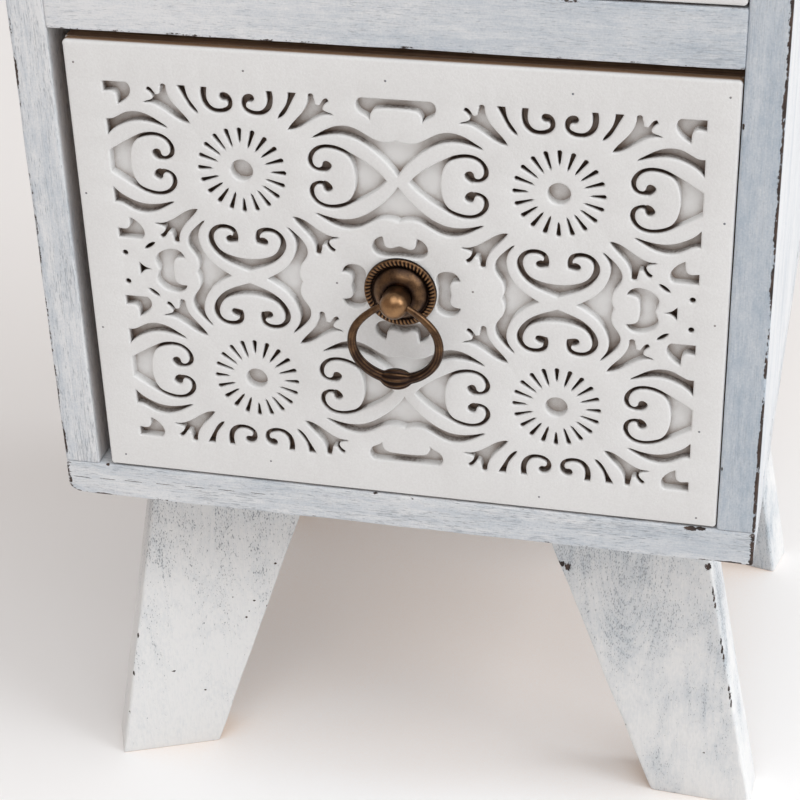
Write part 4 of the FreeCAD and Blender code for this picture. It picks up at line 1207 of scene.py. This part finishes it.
class SEMAINIER_OT_pulls(bpy.types.Operator):
    """Make every drawer's rosette with its screw, and the ring that swings in it"""
    bl_idname = "semainier.pulls"
    bl_label = "Ring pulls"

    def execute(self, context):
        panel_low, panel_high = node_box("drawer_1_fret_panel")
        post_low, post_high = node_box("drawer_1_pull_post")
        inside = node_box("drawer_1_front_board")[1][1] - panel_low[1]
        across, up = (post_low[0] + post_high[0]) / 2, (panel_low[2] + panel_high[2]) / 2
        middle = np.array((across, panel_low[1], up))
        casting = joined([rosette(middle), pull_fixing(middle, inside)])
        swing = ring(middle - (0, PULL_AXIS_REACH, 0))
        for body in DRAWERS:
            lift = node_box(f"{body}_fret_panel")[0] - panel_low
            make_piece(f"{body}_rosette", moved(casting, lift), body, "antique_brass", "antique_brass",
                       f"{body}_pull_post")
            make_piece(f"{body}_ring", moved(swing, lift), body.replace("drawer", "ring"), "antique_brass",
                       "antique_brass", f"{body}_pull_ring")
        return {"FINISHED"}


class SEMAINIER_OT_box_finishes(bpy.types.Operator):
    """Give the CAD pieces that stay their finishes: drawer boxes, runners, back, bolts and screws"""
    bl_idname = "semainier.box_finishes"
    bl_label = "Drawer boxes and fixings"

    def execute(self, context):
        plans = {"back_panel": "back_ply", "drawer_runners": "drawer_side_wood", "leg_bolts": "zinc_plate",
                 "carcass_screws": "zinc_plate"}
        box = {"front_board": "backing_white", "sides": "drawer_side_wood", "back": "drawer_back_wood",
               "bottom": "drawer_floor_ply"}
        plans.update({f"{body}_{piece}": name for body in DRAWERS for piece, name in box.items()})
        for node, name in plans.items():
            slots = frame["nodes"][node].data.materials
            slots.clear()
            slots.append(finish(name))
        return {"FINISHED"}


def make_floor():
    """The floor: a flat square grid at height 0."""
    edge = np.linspace(-FLOOR_HALF, FLOOR_HALF, FLOOR_LINES)
    x, y = np.meshgrid(edge, edge)
    points = np.stack([x, y, np.zeros_like(x)], axis=-1)
    index = np.arange(x.size).reshape(x.shape)
    quads = np.stack([index[:-1, :-1], index[:-1, 1:], index[1:, 1:], index[1:, :-1]], axis=-1)
    mesh = bpy.data.meshes.new("floor")
    mesh.from_pydata(points.reshape(-1, 3).tolist(), [], quads.reshape(-1, 4).tolist())
    mesh.materials.append(finish("pale_floor"))
    floor = bpy.data.objects.new("floor", mesh)
    bpy.context.scene.collection.objects.link(floor)


def make_room(stage):
    """Even light from all round."""
    world = bpy.data.worlds.new("room")
    world.use_nodes = True
    world.node_tree.nodes.clear()
    shade = Shade(world.node_tree)
    glow = shade.node("ShaderNodeBackground", {"Color": (*stage.sky, 1.0), "Strength": stage.sky_strength})
    shade.node("ShaderNodeOutputWorld", {"Surface": glow})
    bpy.context.scene.world = world


def make_lamp(name, place, size, power):
    """A square area lamp turned towards the chest."""
    data = bpy.data.lights.new(name, "AREA")
    data.shape = "SQUARE"
    data.size = size
    data.energy = power
    data.color = LAMP_TINT
    lamp = bpy.data.objects.new(name, data)
    bpy.context.scene.collection.objects.link(lamp)
    lamp.location = place
    lamp.rotation_euler = (Vector(LAMP_AIM) - Vector(place)).to_track_quat("-Z", "Y").to_euler()


def make_camera(stage):
    """The photograph's camera: a heading from the chest's rear, then a tilt upwards, then a roll."""
    heading, tilt, roll = stage.camera_turn
    level = Vector((math.cos(heading), -math.sin(heading), 0))
    ahead = Vector((math.sin(heading) * math.cos(tilt), math.cos(heading) * math.cos(tilt), math.sin(tilt)))
    above = level.cross(ahead)
    right = level * math.cos(roll) + above * math.sin(roll)
    up = above * math.cos(roll) - level * math.sin(roll)
    data = bpy.data.cameras.new("camera")
    data.sensor_width = SENSOR_WIDTH
    data.lens = stage.camera_lens
    data.clip_start = NEAREST_VIEW
    camera = bpy.data.objects.new("camera", data)
    bpy.context.scene.collection.objects.link(camera)
    turn = Matrix((right, up, -ahead)).transposed().to_4x4()
    camera.matrix_world = Matrix.Translation(stage.camera_place) @ turn
    bpy.context.scene.camera = camera


class SEMAINIER_OT_stage(bpy.types.Operator):
    """Make the pale floor, the studio light and the photograph's camera"""
    bl_idname = "semainier.stage"
    bl_label = "Stage"

    def execute(self, context):
        stage = context.scene.semainier_stage
        make_floor()
        make_room(stage)
        make_lamp("key", KEY_PLACE, KEY_SIZE, stage.key_power)
        make_lamp("top", TOP_PLACE, TOP_SIZE, stage.top_power)
        make_camera(stage)
        context.scene.view_settings.view_transform = "Standard"
        return {"FINISHED"}


OPERATORS = [SEMAINIER_OT_carcass, SEMAINIER_OT_legs, SEMAINIER_OT_fretwork, SEMAINIER_OT_pulls,
             SEMAINIER_OT_box_finishes, SEMAINIER_OT_stage]
GROUPS = {"semainier_sizes": SemainierSizes, "semainier_colours": SemainierColours,
          "semainier_stage": SemainierStage}


class SEMAINIER_PT_sidebar(bpy.types.Panel):
    """Lists the chest's pieces in the sidebar"""
    bl_idname = "SEMAINIER_PT_sidebar"
    bl_label = "Semainier"
    bl_space_type = "VIEW_3D"
    bl_region_type = "UI"
    bl_category = "Semainier"

    def draw(self, context):
        for operator in OPERATORS:
            self.layout.operator(operator.bl_idname)
        for key, group in GROUPS.items():
            for name in group.__annotations__:
                self.layout.prop(getattr(context.scene, key), name)


CLASSES = [*GROUPS.values(), *OPERATORS, SEMAINIER_PT_sidebar]


def register():
    for item in CLASSES:
        bpy.utils.register_class(item)
    for key, group in GROUPS.items():
        setattr(bpy.types.Scene, key, PointerProperty(type=group))


def unregister():
    for key in GROUPS:
        delattr(bpy.types.Scene, key)
    for item in reversed(CLASSES):
        bpy.utils.unregister_class(item)


def main():
    register()
    bpy.ops.semainier.stage()
    bpy.ops.semainier.carcass()
    bpy.ops.semainier.legs()
    bpy.ops.semainier.fretwork()
    bpy.ops.semainier.pulls()
    bpy.ops.semainier.box_finishes()


if __name__ == "__main__":
    main()
